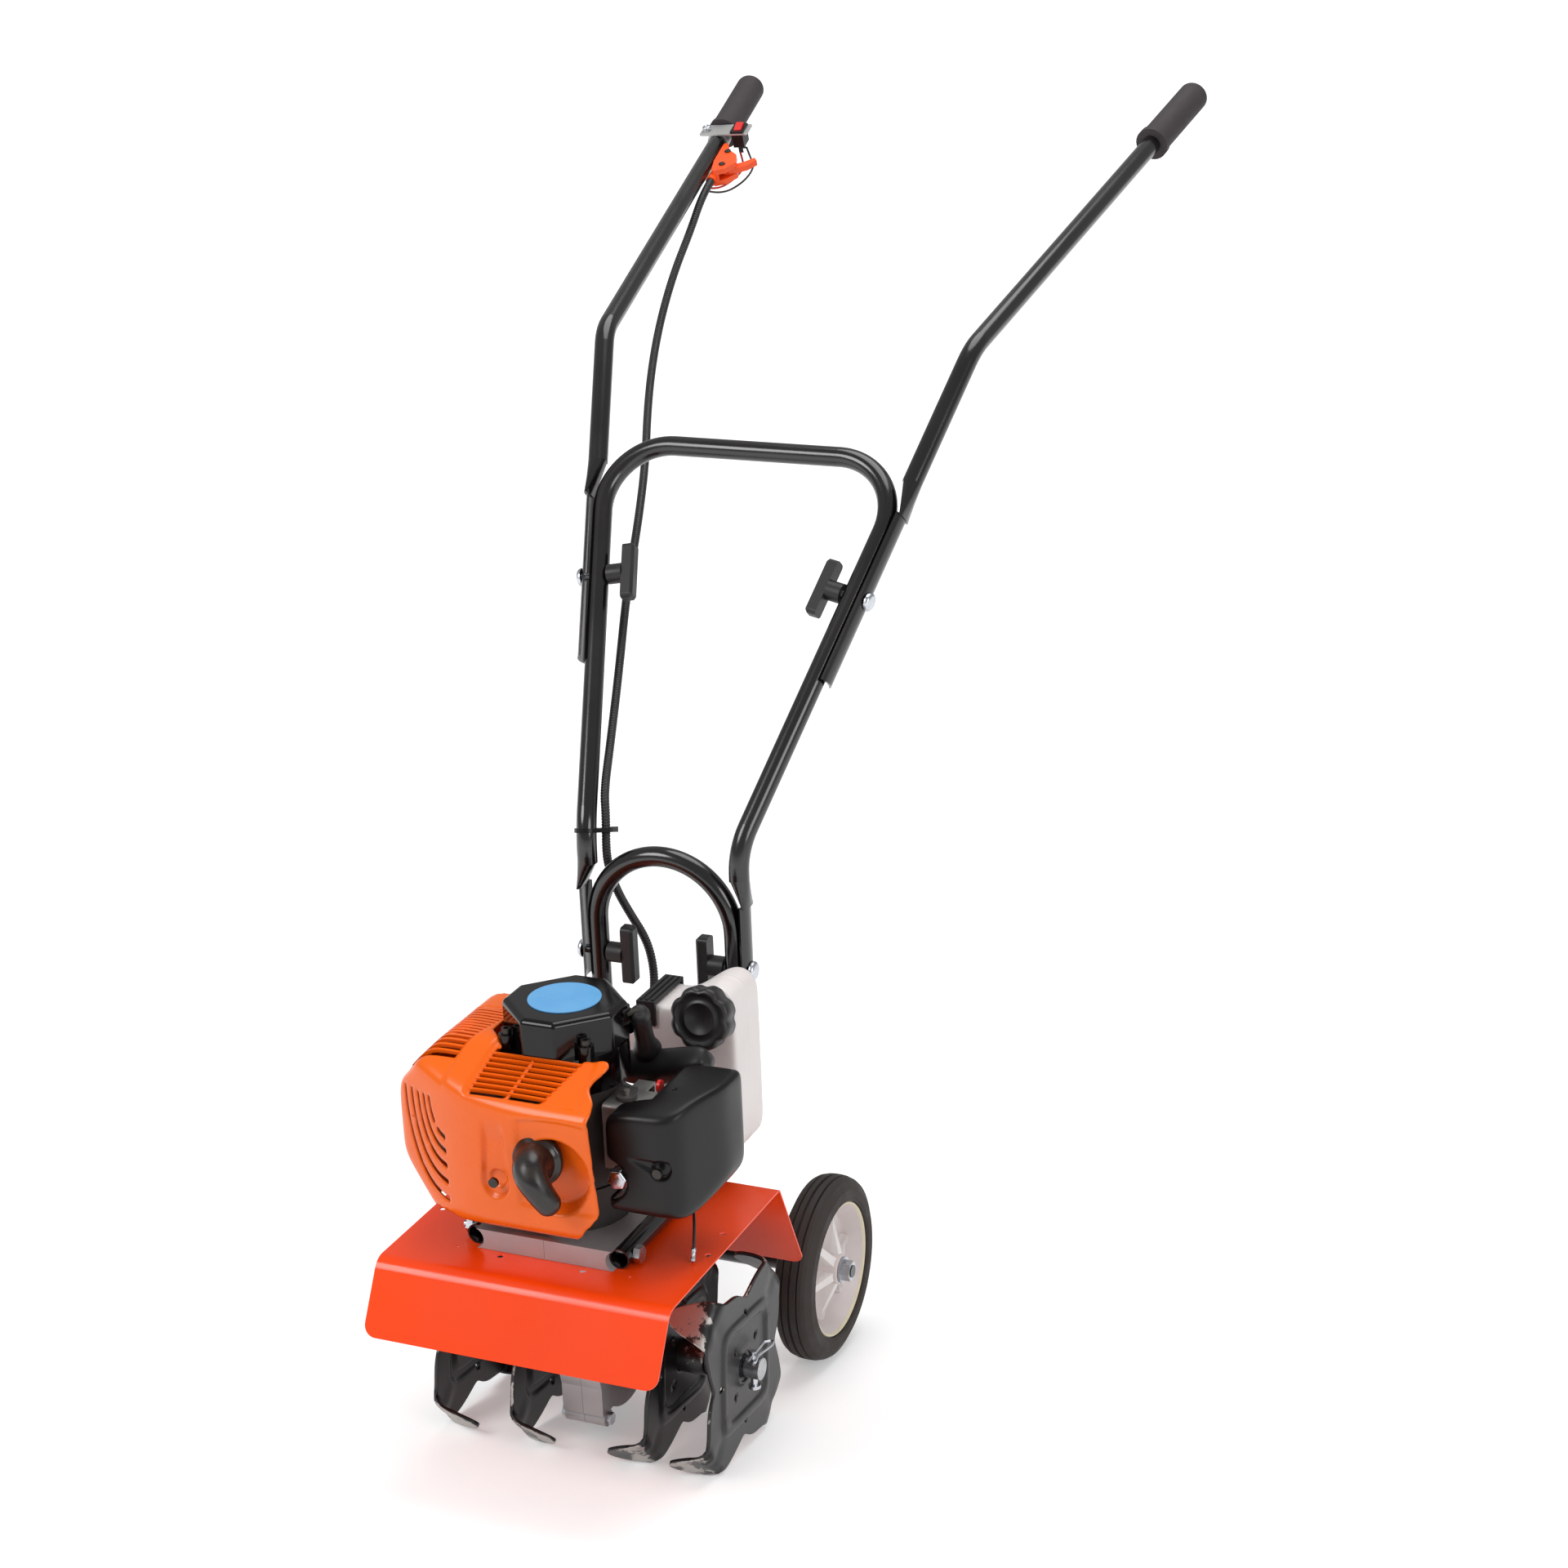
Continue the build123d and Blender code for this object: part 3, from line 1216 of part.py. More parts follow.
with BuildPart() as tank_cap:
    cap_plane = Plane(origin=cap_base + cap_axis * cap_skirt, x_dir=machine.x_dir, z_dir=cap_axis)
    with BuildSketch(cap_plane):
        Circle(cap_r)
        with PolarLocations(cap_r + cap_lobe_out, cap_lobes):
            Circle(cap_lobe_r, mode=Mode.SUBTRACT)
    extrude(amount=cap_high)
    drum(cap_plane.offset(-1), neck_out_r + running_fit, neck_high - cap_skirt + cap_room, Mode.SUBTRACT)
keep(tank_cap.part, "tank_cap")

with BuildPart() as tank_strap:
    strap_top = tank_outline[2][1] + seat_gap
    low = tank_front - seat_gap
    high = tank_rear + seat_gap
    with BuildSketch(facing_left(strap_x)):
        with BuildLine():
            Polyline((low, strap_front_low), (low, strap_top), (high, strap_top), (high, strap_rear_low),
                     (high + strap_thick, strap_rear_low), (high + strap_thick, strap_top + strap_thick),
                     (low - strap_thick, strap_top + strap_thick), (low - strap_thick, strap_front_low), close=True)
        make_face()
    extrude(amount=strap_half, both=True)
    for u in strap_ribs:
        drum(Plane(origin=spot(strap_x + u, low, strap_top + strap_thick), x_dir=machine.x_dir,
                   z_dir=machine.y_dir), strap_rib_r, high - low)
keep(tank_strap.part, "tank_strap")

with BuildPart() as tank_bracket:
    with BuildSketch(facing_front(tank_rear + seat_gap)):
        Polygon(*bracket_shape, align=None)
    extrude(amount=-bracket_thick)
    block(bracket_shape[0][0], shelf_end, shelf_front, tank_rear + seat_gap + bracket_thick, shelf_low,
          shelf_top)
keep(tank_bracket.part, "tank_bracket")

# Lower handle hoop with pressed ends lying outside the bow's legs
with BuildPart() as lower_handle:
    with BuildLine() as hoop_way:
        cx, cy, cz = hoop_corner
        FilletPolyline(spot(hoop_x, bow_leg_y, hoop_round_z), spot(hoop_x, bow_leg_y, hoop_bend_z), spot(cx, cy, cz),
                       spot(-cx, cy, cz), spot(-hoop_x, bow_leg_y, hoop_bend_z),
                       spot(-hoop_x, bow_leg_y, hoop_round_z),
                       radius=hoop_bend_r)
    with BuildSketch(level(hoop_round_z, hoop_x, bow_leg_y)):
        Circle(tube_r)
        Circle(tube_bore_r, mode=Mode.SUBTRACT)
    sweep(path=hoop_way.wires()[0])
    for side in (1, -1):
        foot = Plane(origin=spot(side * bow_half, bow_leg_y, hoop_press_low), x_dir=machine.x_dir * side,
                     z_dir=machine.z_dir)
        with BuildSketch(foot):
            pressed_profile()
        extrude(amount=hoop_press_top - hoop_press_low)
        with BuildSketch(foot.offset(hoop_press_top - hoop_press_low - 2)):
            with Locations((press_mid, 0)):
                Ellipse(press_ring, press_half)
        with BuildSketch(foot.offset(hoop_round_z + 2 - hoop_press_low)):
            with Locations((hoop_x - bow_half, 0)):
                Circle(tube_r)
        loft()
    with BuildSketch(facing_left(0, bow_leg_y, lower_bolt_z)):
        Circle(bolt_r + seat_gap)
    extrude(amount=2 * bow_half, both=True, mode=Mode.SUBTRACT)
    for side in (1, -1):
        drum(Plane(origin=leg_place(upper_bolt, -2 * tube_r, side),
                   z_dir=way(side * out_unit[0], out_unit[1], out_unit[2])), bolt_r + running_fit, cut_long / 4,
             Mode.SUBTRACT)
keep(lower_handle.part, "lower_handle")


# Carriage bolt: domed head outside, shank running inward through both tubes
def carriage_bolt(origin, outward):
    with BuildPart() as bolt:
        seat = origin + outward * press_outer
        drum(Plane(origin=seat, z_dir=outward), bolt_head_r, bolt_head_h)
        fillet(bolt.faces().sort_by(Axis(origin, outward))[-1].edges(), bolt_dome_r)
        drum(Plane(origin=seat, z_dir=outward * -1), bolt_r, press_outer + tube_r + knob_stem_len)
    return bolt.part


# T knob: round stem and a chamfered bar, on the bolt's inner end
def tee_knob(origin, outward, along):
    seat = origin - outward * (tube_r + knob_gap)
    with BuildPart() as knob:
        drum(Plane(origin=seat, z_dir=outward * -1), knob_stem_r, knob_stem_len)
        with BuildSketch(Plane(origin=seat - outward * knob_stem_len, x_dir=along, z_dir=outward * -1)):
            RectangleRounded(knob_bar_len, knob_bar_wide, knob_corner_r)
        extrude(amount=knob_bar_thick)
        chamfer(knob.faces().sort_by(Axis(origin, outward))[0].edges(), knob_bevel)
        drum(Plane(origin=seat, z_dir=outward * -1), bolt_r + running_fit, knob_stem_len + 1, Mode.SUBTRACT)
    return knob.part


lower_pair = []
for name, side in (("left", 1), ("right", -1)):
    low_spot = spot(side * bow_half, bow_leg_y, lower_bolt_z)
    low_out = machine.x_dir * side
    lower_pair.append(carriage_bolt(low_spot, low_out))
    keep(tee_knob(low_spot, low_out, machine.z_dir), f"knob_lower_{name}")
    up_spot = leg_place(upper_bolt, 0, side)
    up_out = way(side * out_unit[0], out_unit[1], out_unit[2])
    keep(carriage_bolt(up_spot, up_out), f"upper_bolt_{name}")
    keep(tee_knob(up_spot, up_out, way(side * leg_unit[0], leg_unit[1], leg_unit[2])), f"knob_upper_{name}")
keep(Compound(children=lower_pair), "lower_bolts")

# Upper handles and grips
tip_x, tip_y, tip_z = grip_tip


def handle_axis(side):
    bend = leg_place(upper_bend, upper_off, side)
    tip = spot(side * tip_x, tip_y, tip_z)
    return bend, tip, (tip - bend).normalized()


def upper_handle(side):
    bend, tip, along = handle_axis(side)
    with BuildPart() as tube:
        with BuildLine() as tube_way:
            FilletPolyline(leg_place(upper_round - 2, upper_off, side), bend, tip - along * grip_over,
                           radius=upper_bend_r)
        with BuildSketch(Plane(origin=leg_place(upper_round - 2, upper_off, side),
                               z_dir=way(side * leg_unit[0], leg_unit[1], leg_unit[2]))):
            Circle(tube_r)
            Circle(tube_bore_r, mode=Mode.SUBTRACT)
        sweep(path=tube_way.wires()[0])
        foot = leg_plane(upper_low, side)
        with BuildSketch(foot):
            pressed_profile()
        extrude(amount=upper_press_top - upper_low)
        with BuildSketch(foot.offset(upper_press_top - upper_low - 2)):
            with Locations((press_mid, 0)):
                Ellipse(press_ring, press_half)
        with BuildSketch(foot.offset(upper_round - upper_low)):
            with Locations((upper_off, 0)):
                Circle(tube_r)
        loft()
        drum(Plane(origin=leg_place(upper_bolt, 0, side), z_dir=way(side * out_unit[0], out_unit[1], out_unit[2])),
             bolt_r + seat_gap, 3 * tube_r, Mode.SUBTRACT)
    return tube.part


def grip(side):
    bend, tip, along = handle_axis(side)
    start = tip - along * grip_len
    with BuildPart() as sleeve:
        drum(Plane(origin=start, z_dir=along), grip_r, grip_len)
        fillet(sleeve.faces().sort_by(Axis(start, along))[-1].edges(), grip_end_r)
        drum(Plane(origin=start, z_dir=along), grip_collar_r, grip_collar_len)
        drum(Plane(origin=start - along, z_dir=along), tube_r + seat_gap / 2, grip_len - grip_over + 1,
             Mode.SUBTRACT)
    return sleeve.part


for name, side in (("left", 1), ("right", -1)):
    keep(upper_handle(side), f"upper_handle_{name}")
    keep(grip(side), f"grip_{name}")

# Switch bracket and throttle, in a frame on the right handle: x inward, y down, z toward the grip
bend_r, tip_r, along_r = handle_axis(-1)
inward_r = (machine.x_dir - along_r * machine.x_dir.dot(along_r)).normalized()
hand = Plane(origin=tip_r - along_r * bracket_at, x_dir=inward_r, z_dir=along_r)


def on_hand(x, y, z):
    return hand.from_local_coords(Vector(x, y, z))


def hand_top(y):
    return Plane(origin=on_hand(0, y, 0), x_dir=hand.x_dir, z_dir=hand.y_dir * -1)


with BuildPart() as switch_bracket:
    drum(hand.offset(-clip_wide / 2), clip_ring_r, clip_wide)
    with BuildSketch(hand_top(-tube_r - clip_air)):
        with Locations(((plate_in + plate_out) / 2, 0)):
            RectangleRounded(plate_in - plate_out, plate_wide, plate_corner_r)
        with Locations((switch_x, 0)):
            Rectangle(switch_wide + switch_room, switch_long + switch_room, mode=Mode.SUBTRACT)
    extrude(amount=clip_ring_r - tube_r - clip_air)
    drum(hand.offset(-plate_wide), tube_r + seat_gap / 2, 2 * plate_wide, Mode.SUBTRACT)
    with Locations(hand_top(-clip_ring_r)):
        with Locations((plate_out + screw_in, 0)):
            Cylinder(clip_screw_r, clip_screw_h)
keep(switch_bracket.part, "switch_bracket")

with BuildPart() as switch_body:
    with BuildSketch(hand_top(-clip_ring_r)):
        with Locations((switch_x, 0)):
            RectangleRounded(bezel_wide, bezel_long, bezel_corner_r)
    extrude(amount=bezel_thick)
    with BuildSketch(hand_top(-clip_ring_r)):
        with Locations((switch_x, 0)):
            Rectangle(switch_wide, switch_long)
    extrude(amount=-switch_deep)
    with BuildSketch(hand_top(-clip_ring_r - bezel_thick - 1)):
        with Locations((switch_x, 0)):
            Rectangle(rocker_wide + rocker_room, rocker_long + rocker_room)
    extrude(amount=-rocker_well, mode=Mode.SUBTRACT)
    for v in tab_spots:
        with BuildSketch(hand_top(-clip_ring_r + switch_deep - 1)):
            with Locations((switch_x, v)):
                Rectangle(tab_wide, 1)
        extrude(amount=-tab_long)
keep(switch_body.part, "switch_body")

with BuildPart() as switch_rocker:
    with BuildSketch(Plane(origin=on_hand(switch_x - rocker_wide / 2, -clip_ring_r - bezel_thick, 0),
                           x_dir=hand.z_dir, z_dir=hand.x_dir)):
        Polygon(*rocker_shape, align=None)
    extrude(amount=rocker_wide)
keep(switch_rocker.part, "switch_rocker")

with BuildPart() as throttle_housing:
    with BuildSketch(Plane(origin=on_hand(0, house_top, 0), x_dir=hand.x_dir, z_dir=hand.y_dir)):
        Polygon(*[(x, -z) for x, z in house_shape], align=None)
    extrude(amount=house_low - house_top)
    fillet(throttle_housing.edges().filter_by(Axis(hand.origin, hand.y_dir)), house_edge_r)
    drum(hand.offset(-cut_long / 2), tube_r + seat_gap / 2, cut_long / 2, Mode.SUBTRACT)
    with BuildSketch(Plane(origin=on_hand(0, slot_top, 0), x_dir=hand.x_dir, z_dir=hand.y_dir)):
        with Locations((trigger_pivot[0] + slot_in, -trigger_pivot[1] - slot_back)):
            Rectangle(slot_side, slot_side)
    extrude(amount=slot_low - slot_top, mode=Mode.SUBTRACT)
    drum(Plane(origin=on_hand(trigger_pivot[0], house_top, trigger_pivot[1]), z_dir=hand.y_dir), trigger_pin_r,
         house_low - house_top)
    drum(Plane(origin=on_hand(*hose_exit) + along_r * seat_gap, z_dir=hand.z_dir), hose_r + ferrule_wall, ferrule_long)
    drum(Plane(origin=on_hand(*hose_exit), z_dir=hand.z_dir), hose_bore_r, ferrule_long + 1, Mode.SUBTRACT)
keep(throttle_housing.part, "throttle_housing")

with BuildPart() as throttle_trigger:
    with BuildSketch(Plane(origin=on_hand(0, (slot_top + slot_low - trigger_thick) / 2, 0), x_dir=hand.x_dir,
                           z_dir=hand.y_dir)):
        Polygon(*[(x, -z) for x, z in trigger_shape], align=None)
        with Locations((trigger_pivot[0], -trigger_pivot[1])):
            Circle(trigger_eye_r)
            Circle(trigger_pin_r + running_fit, mode=Mode.SUBTRACT)
    extrude(amount=trigger_thick)
keep(throttle_trigger.part, "throttle_trigger")


# Corrugated conduit: ruled loft over ribs along straight runs joined by wide arcs
def bend_radii(points):
    radii = []
    for before, here, after in zip(points, points[1:], points[2:]):
        back, ahead = before - here, after - here
        turn = radians(180 - back.get_angle(ahead))
        radii.append(run_share * min(back.length, ahead.length) / tan(turn / 2))
    return radii


def conduit(name, points, ribs, steady):
    radii = bend_radii(points)
    with BuildPart() as hose:
        with BuildLine() as route:
            FilletPolyline(*points, radius=radii)
        line = route.wires()[0]
        for i in range(ribs):
            for share, radius in zip(rib_shares, (hose_groove_r, hose_r, hose_r, hose_groove_r)):
                t = (i + share) / ribs
                with BuildSketch(Plane(origin=line @ t, x_dir=steady, z_dir=line % t)):
                    Circle(radius)
        with BuildSketch(Plane(origin=line @ 1, x_dir=steady, z_dir=line % 1)):
            Circle(hose_groove_r)
        loft(ruled=True)
        for i in range(ribs + 1):
            t = i / ribs
            past = {0: -1, ribs: 1}.get(i, 0)
            with BuildSketch(Plane(origin=line @ t + (line % t) * past, x_dir=steady, z_dir=line % t)):
                Circle(hose_bore_r)
        loft(ruled=True, mode=Mode.SUBTRACT)
    runs = [(q - p).length for p, q in zip(points, points[1:])]
    print(name, f"{line.length:.0f} mm long, least bend {min(radii):.0f} mm, runs {min(runs):.0f}-{max(runs):.0f} mm")
    return hose.part


# Where the tie holds the conduit: a little up the bend of the hoop's right leg, inside and behind it
hoop_wire = hoop_way.wires()[0]
tie_spot = hoop_wire.position_at(hoop_wire.length - tie_up, position_mode=PositionMode.LENGTH)
tie_run = hoop_wire.tangent_at(hoop_wire.length - tie_up, position_mode=PositionMode.LENGTH) * -1
tie_side = way(1, 1, 0)
tie_side = (tie_side - tie_run * tie_side.dot(tie_run)).normalized()
tie_span = tube_r + hose_r + tie_slack
hose_joint = tie_spot + tie_side * tie_span

upper_points = [on_hand(*hose_exit), on_hand(*hose_exit) - along_r * 2 * hose_lead]
upper_points += [spot(*p) for p in hose_upper_way] + [hose_joint + tie_run * hose_lead, hose_joint]
keep(conduit("conduit_upper", upper_points, hose_upper_ribs, machine.x_dir), "conduit_upper")
lower_points = [hose_joint - tie_run * seat_gap, hose_joint - tie_run * hose_lead]
lower_points += [spot(*p) for p in hose_lower_way] + [spot(*hose_end)]
keep(conduit("conduit_lower", lower_points, hose_lower_ribs, way(1, 1, 0)), "conduit_lower")

# Cable tie round the hoop leg and the conduit, its head on the conduit's side
with BuildPart() as cable_tie:
    tie_plane = Plane(origin=tie_spot + tie_run, x_dir=tie_side, z_dir=tie_run)
    with BuildSketch(tie_plane):
        Circle(tube_r + tie_room + tie_thick)
        with Locations((tie_span, 0)):
            Circle(hose_r + tie_room + tie_thick)
        make_hull()
        Circle(tube_r + tie_room, mode=Mode.SUBTRACT)
        with Locations((tie_span, 0)):
            Circle(hose_r + tie_room, mode=Mode.SUBTRACT)
    extrude(amount=tie_wide)
    with BuildSketch(tie_plane):
        with Locations((tie_span + hose_r + tie_room + tie_thick + 2, 0)):
            Rectangle(tie_head, tie_head)
    extrude(amount=tie_wide + 1)
keep(cable_tie.part, "cable_tie")

# Loose stop wire with its ferrule, over the fender
with BuildPart() as stop_wire:
    with BuildLine() as stop_route:
        stop_points = [spot(*p) for p in stop_wire_way]
        FilletPolyline(*stop_points, radius=bend_radii(stop_points))
    stop_line = stop_route.wires()[0]
    with BuildSketch(Plane(origin=stop_line @ 0, z_dir=stop_line % 0)):
        Circle(stop_wire_r)
    sweep(path=stop_line)
    drum(Plane(origin=stop_line @ 1 - (stop_line % 1) * ferrule_len, z_dir=stop_line % 1), ferrule_r, ferrule_len)
keep(stop_wire.part, "stop_wire")
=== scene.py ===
import bpy
import numpy as np
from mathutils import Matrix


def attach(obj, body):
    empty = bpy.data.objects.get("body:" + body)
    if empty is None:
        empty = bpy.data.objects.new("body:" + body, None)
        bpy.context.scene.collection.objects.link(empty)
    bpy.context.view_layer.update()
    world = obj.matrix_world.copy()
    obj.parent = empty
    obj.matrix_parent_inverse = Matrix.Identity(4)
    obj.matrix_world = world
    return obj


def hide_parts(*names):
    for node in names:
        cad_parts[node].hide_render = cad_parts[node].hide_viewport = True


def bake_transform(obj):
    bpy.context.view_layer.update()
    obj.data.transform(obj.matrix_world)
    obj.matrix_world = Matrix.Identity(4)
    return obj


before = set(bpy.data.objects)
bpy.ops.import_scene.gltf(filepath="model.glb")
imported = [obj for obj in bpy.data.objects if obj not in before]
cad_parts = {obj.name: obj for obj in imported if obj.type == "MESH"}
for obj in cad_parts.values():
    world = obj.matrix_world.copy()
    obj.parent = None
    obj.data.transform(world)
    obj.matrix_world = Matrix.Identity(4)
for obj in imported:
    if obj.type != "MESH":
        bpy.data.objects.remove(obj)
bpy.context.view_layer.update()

# The machine is pitched by this angle about its tine axle, whose place in the row frame is given in mm
PITCH_DEG = 5.3
PITCH = np.radians(PITCH_DEG)
AXLE = np.array([0.0, -361.13, 83.08])
MM = 1000


def row(p):
    """Machine frame in mm, tine axle at its origin, to the row frame in m: (x, y cos a - z sin a, y sin a +
    z cos a) for the pitch a, then the axle's place."""
    p = np.asarray(p, float)
    x, y, z = p[..., 0], p[..., 1], p[..., 2]
    c, s = np.cos(PITCH), np.sin(PITCH)
    return (np.stack([x, y * c - z * s, y * s + z * c], -1) + AXLE) / MM


def step(a, b, x):
    """Smooth ramp from 0 at a to 1 at b: 3t^2 - 2t^3."""
    t = np.clip((x - a) / (b - a), 0, 1)
    return t * t * (3 - 2 * t)


def unit(v):
    """Vectors along the last axis, scaled to length 1."""
    return v / np.linalg.norm(v, axis=-1, keepdims=True)


def mesh_object(name, points, faces, material, smooth=True):
    """An object in the scene, from points in m and faces as lists of point numbers."""
    mesh = bpy.data.meshes.new(name)
    mesh.from_pydata(np.asarray(points).tolist(), [], faces)
    mesh.polygons.foreach_set("use_smooth", np.full(len(mesh.polygons), smooth))
    mesh.materials.append(material)
    obj = bpy.data.objects.new(name, mesh)
    bpy.context.scene.collection.objects.link(obj)
    return obj


def grid_faces(rows, cols, around=False, caps=False, cells=None, first=0):
    """Quads between the neighbours of a grid. Around joins the last column to the first, caps closes the end
    rows, cells says which quads to keep, and first is the number of the grid's first point."""
    ids = np.arange(rows * cols).reshape(rows, cols) + first
    here, there = (ids, np.roll(ids, -1, 1)) if around else (ids[:, :-1], ids[:, 1:])
    quads = np.stack([here[:-1], there[:-1], there[1:], here[1:]], -1).reshape(-1, 4)
    quads = quads if cells is None else quads[cells.ravel()]
    ends = [ids[0, ::-1].tolist(), ids[-1].tolist()] if caps else []
    return quads.tolist() + ends


def tube_grid(path, radius, steady, sides):
    """A circle carried along a path: p + r (cos a n + sin a b), n square to the tangent and a steady
    direction."""
    tangent = unit(np.gradient(path, axis=0))
    n = unit(np.cross(np.broadcast_to(steady, tangent.shape), tangent))
    b = np.cross(tangent, n)
    a = np.linspace(0, 2 * np.pi, sides, endpoint=False)[None, :, None]
    r = np.broadcast_to(radius, len(path))[:, None, None]
    return path[:, None] + r * (np.cos(a) * n[:, None] + np.sin(a) * b[:, None])


def tube(name, path, radius, material, sides):
    """A closed tube along a path in m; radius is one value or one for each point."""
    g = tube_grid(path, radius, np.array((1.0, 0, 0)), sides)
    return mesh_object(name, g.reshape(-1, 3), grid_faces(len(path), sides, True, True), material)


# A direction that none of the turned axes has
OFF_AXIS = (0.3, 0.5, 0.81)


def turned(name, foot, along, profile, material, sides=48, lobes=None, caps=True):
    """A profile of (distance along, radius) in mm turned about an axis; lobes is a radius factor over the
    angle."""
    along = unit(np.asarray(along, float))
    across = unit(np.cross(along, OFF_AXIS))
    third = np.cross(along, across)
    s, r = np.asarray(profile, float).T
    a = np.linspace(0, 2 * np.pi, sides, endpoint=False)
    r = r[:, None] * (np.ones(sides) if lobes is None else lobes(a))
    ring = np.cos(a)[:, None] * across + np.sin(a)[:, None] * third
    g = (np.asarray(foot) * MM + s[:, None, None] * along + r[..., None] * ring) / MM
    return mesh_object(name, g.reshape(-1, 3), grid_faces(len(s), sides, True, caps), material)


def linear(code):
    """An sRGB hex value as linear RGBA."""
    c = np.array([int(code[i:i + 2], 16) for i in (1, 3, 5)]) / 255
    c = np.where(c <= 0.04045, c / 12.92, ((c + 0.055) / 1.055) ** 2.4)
    return (*c.tolist(), 1.0)


def node(mat, kind, inputs=(), **settings):
    """Adds a shader node, sets its properties, and fills its inputs with values or with other nodes'
    outputs."""
    n = mat.node_tree.nodes.new("ShaderNode" + kind)
    for key, value in settings.items():
        setattr(n, key, value)
    for key, value in dict(inputs).items():
        if isinstance(value, bpy.types.NodeSocket):
            mat.node_tree.links.new(value, n.inputs[key])
        else:
            n.inputs[key].default_value = value
    return n


def ranged(mat, value, start, end, low=0.0, high=1.0, smooth=False):
    """A value's run from start to end as low to high, held beyond both ends."""
    ends = {"From Min": start, "From Max": end, "To Min": low, "To Max": high}
    kind = "SMOOTHSTEP" if smooth else "LINEAR"
    return node(mat, "MapRange", {"Value": value, **ends}, interpolation_type=kind).outputs["Result"]


def noise(mat, place, size_mm, detail, roughness=0.5):
    """Noise of about 0 to 1 with lumps of a size in mm."""
    return node(mat, "TexNoise", {"Vector": place, "Scale": MM / size_mm, "Detail": detail,
                                  "Roughness": roughness}).outputs["Fac"]


def mixed(mat, share, under, over):
    """The colour a share of the way from one to another."""
    return node(mat, "Mix", {"Factor": share, "A": under, "B": over}, data_type="RGBA").outputs["Result"]


def blank(name):
    """A material with an empty node tree."""
    mat = bpy.data.materials.new(name)
    mat.use_nodes = True
    mat.node_tree.nodes.clear()
    return mat


def close(mat, shader):
    """Joins a shader to the material's output."""
    node(mat, "OutputMaterial", {"Surface": shader})
    return mat


# Largest share of the other tone; size in mm, noise thresholds and largest share of the rubs
CLOUD_SHARE = 0.5
RUB_MM, RUB_FROM, RUB_FULL, RUB_SHARE = 14, 0.66, 0.76, 0.55
LEAST_ROUGH = 0.03


def coating(name, tone, other, rough, cloud_mm, grain_mm, grain_depth, spread=0.06, scuff=None, **shader):
    """A moulded, painted or cast surface: the tone clouds over cloud_mm, the roughness wanders by spread,
    and a bump of grain_mm lumps is grain_depth mm high; scuff is the tone of small rubs, where a noise
    passes a threshold. The rest goes to the shader."""
    mat = blank(name)
    place = node(mat, "TexCoord").outputs["Object"]
    clouds = noise(mat, place, cloud_mm, 4.0)
    share = ranged(mat, clouds, 0.3, 0.72, 0.0, CLOUD_SHARE, True)
    shade = mixed(mat, share, linear(tone), linear(other))
    if scuff:
        rubs = noise(mat, place, RUB_MM, 9.0, 0.78)
        shade = mixed(mat, ranged(mat, rubs, RUB_FROM, RUB_FULL, 0.0, RUB_SHARE), shade, linear(scuff))
    gloss = ranged(mat, clouds, 0.3, 0.7, max(rough - spread, LEAST_ROUGH), rough + spread, True)
    grain = noise(mat, place, grain_mm, 2.0)
    bump = node(mat, "Bump", {"Height": grain, "Distance": grain_depth / MM, "Strength": 1.0})
    values = {"Base Color": shade, "Roughness": gloss, "Normal": bump.outputs["Normal"]}
    values.update({key.replace("_", " "): value for key, value in shader.items()})
    return close(mat, node(mat, "BsdfPrincipled", values).outputs["BSDF"])


# Baked gloss enamel on drawn steel tube: deep black, mirror highlights with a faint orange peel
tube_enamel = coating("gloss_black_enamel", "#0f0c0d", "#171314", 0.2, 90, 2.2, 0.012, 0.05, scuff="#453f3c",
                      Coat_Weight=0.3, Coat_Roughness=0.1)
# Red orange enamel on pressed sheet steel: bright and even, with small dark rubs
fender_enamel = coating("red_orange_enamel", "#FA470A", "#F03E0A", 0.22, 150, 3.0, 0.01, 0.05,
                        scuff="#B8401C", Specular_IOR_Level=0.42)
# Injection moulded ABS of the shroud: saturated orange, satin gloss
shroud_abs = coating("orange_abs", "#F0660E", "#E55B0C", 0.26, 90, 0.9, 0.004, 0.05, scuff="#D9782F",
                     Specular_IOR_Level=0.36)
# ABS of the throttle: redder and a little duller than the shroud
throttle_abs = coating("red_orange_abs", "#F5540F", "#EA480E", 0.35, 40, 0.9, 0.006)
# Glass filled nylon from an etched mould: black without sharp highlights, with a fine even grain
cover_nylon = coating("matte_black_nylon", "#0d0b0c", "#141112", 0.34, 50, 0.7, 0.02, Specular_IOR_Level=0.3)
# Nylon of the knobs and the pull handle: charcoal, so their edges still show
knob_nylon = coating("charcoal_nylon", "#1c1a1c", "#252325", 0.45, 40, 0.8, 0.02, Specular_IOR_Level=0.4)
# Polished ABS of the recoil housing: near black with sharp highlights
recoil_abs = coating("gloss_black_abs", "#090607", "#0f0b0b", 0.1, 60, 1.5, 0.004, 0.04,
                     Specular_IOR_Level=0.32)
# Nylon of the tank's cap and strap: black, satin, with a deeper grain
cap_nylon = coating("cap_black_nylon", "#171516", "#201e1f", 0.42, 30, 0.8, 0.03)
# Film on the recoil disc: light blue and smooth
disc_blue = coating("blue_polyester_film", "#63A8DC", "#4A96D0", 0.25, 45, 2.0, 0.004, 0.05)
# Blow moulded polyethylene: milky white, light goes a little way in
tank_hdpe = coating("milky_polyethylene", "#E9E3E2", "#DDD5D2", 0.38, 80, 3.0, 0.03,
                    Subsurface_Weight=0.35, Subsurface_Radius=(0.012, 0.011, 0.010), Subsurface_Scale=1.0)
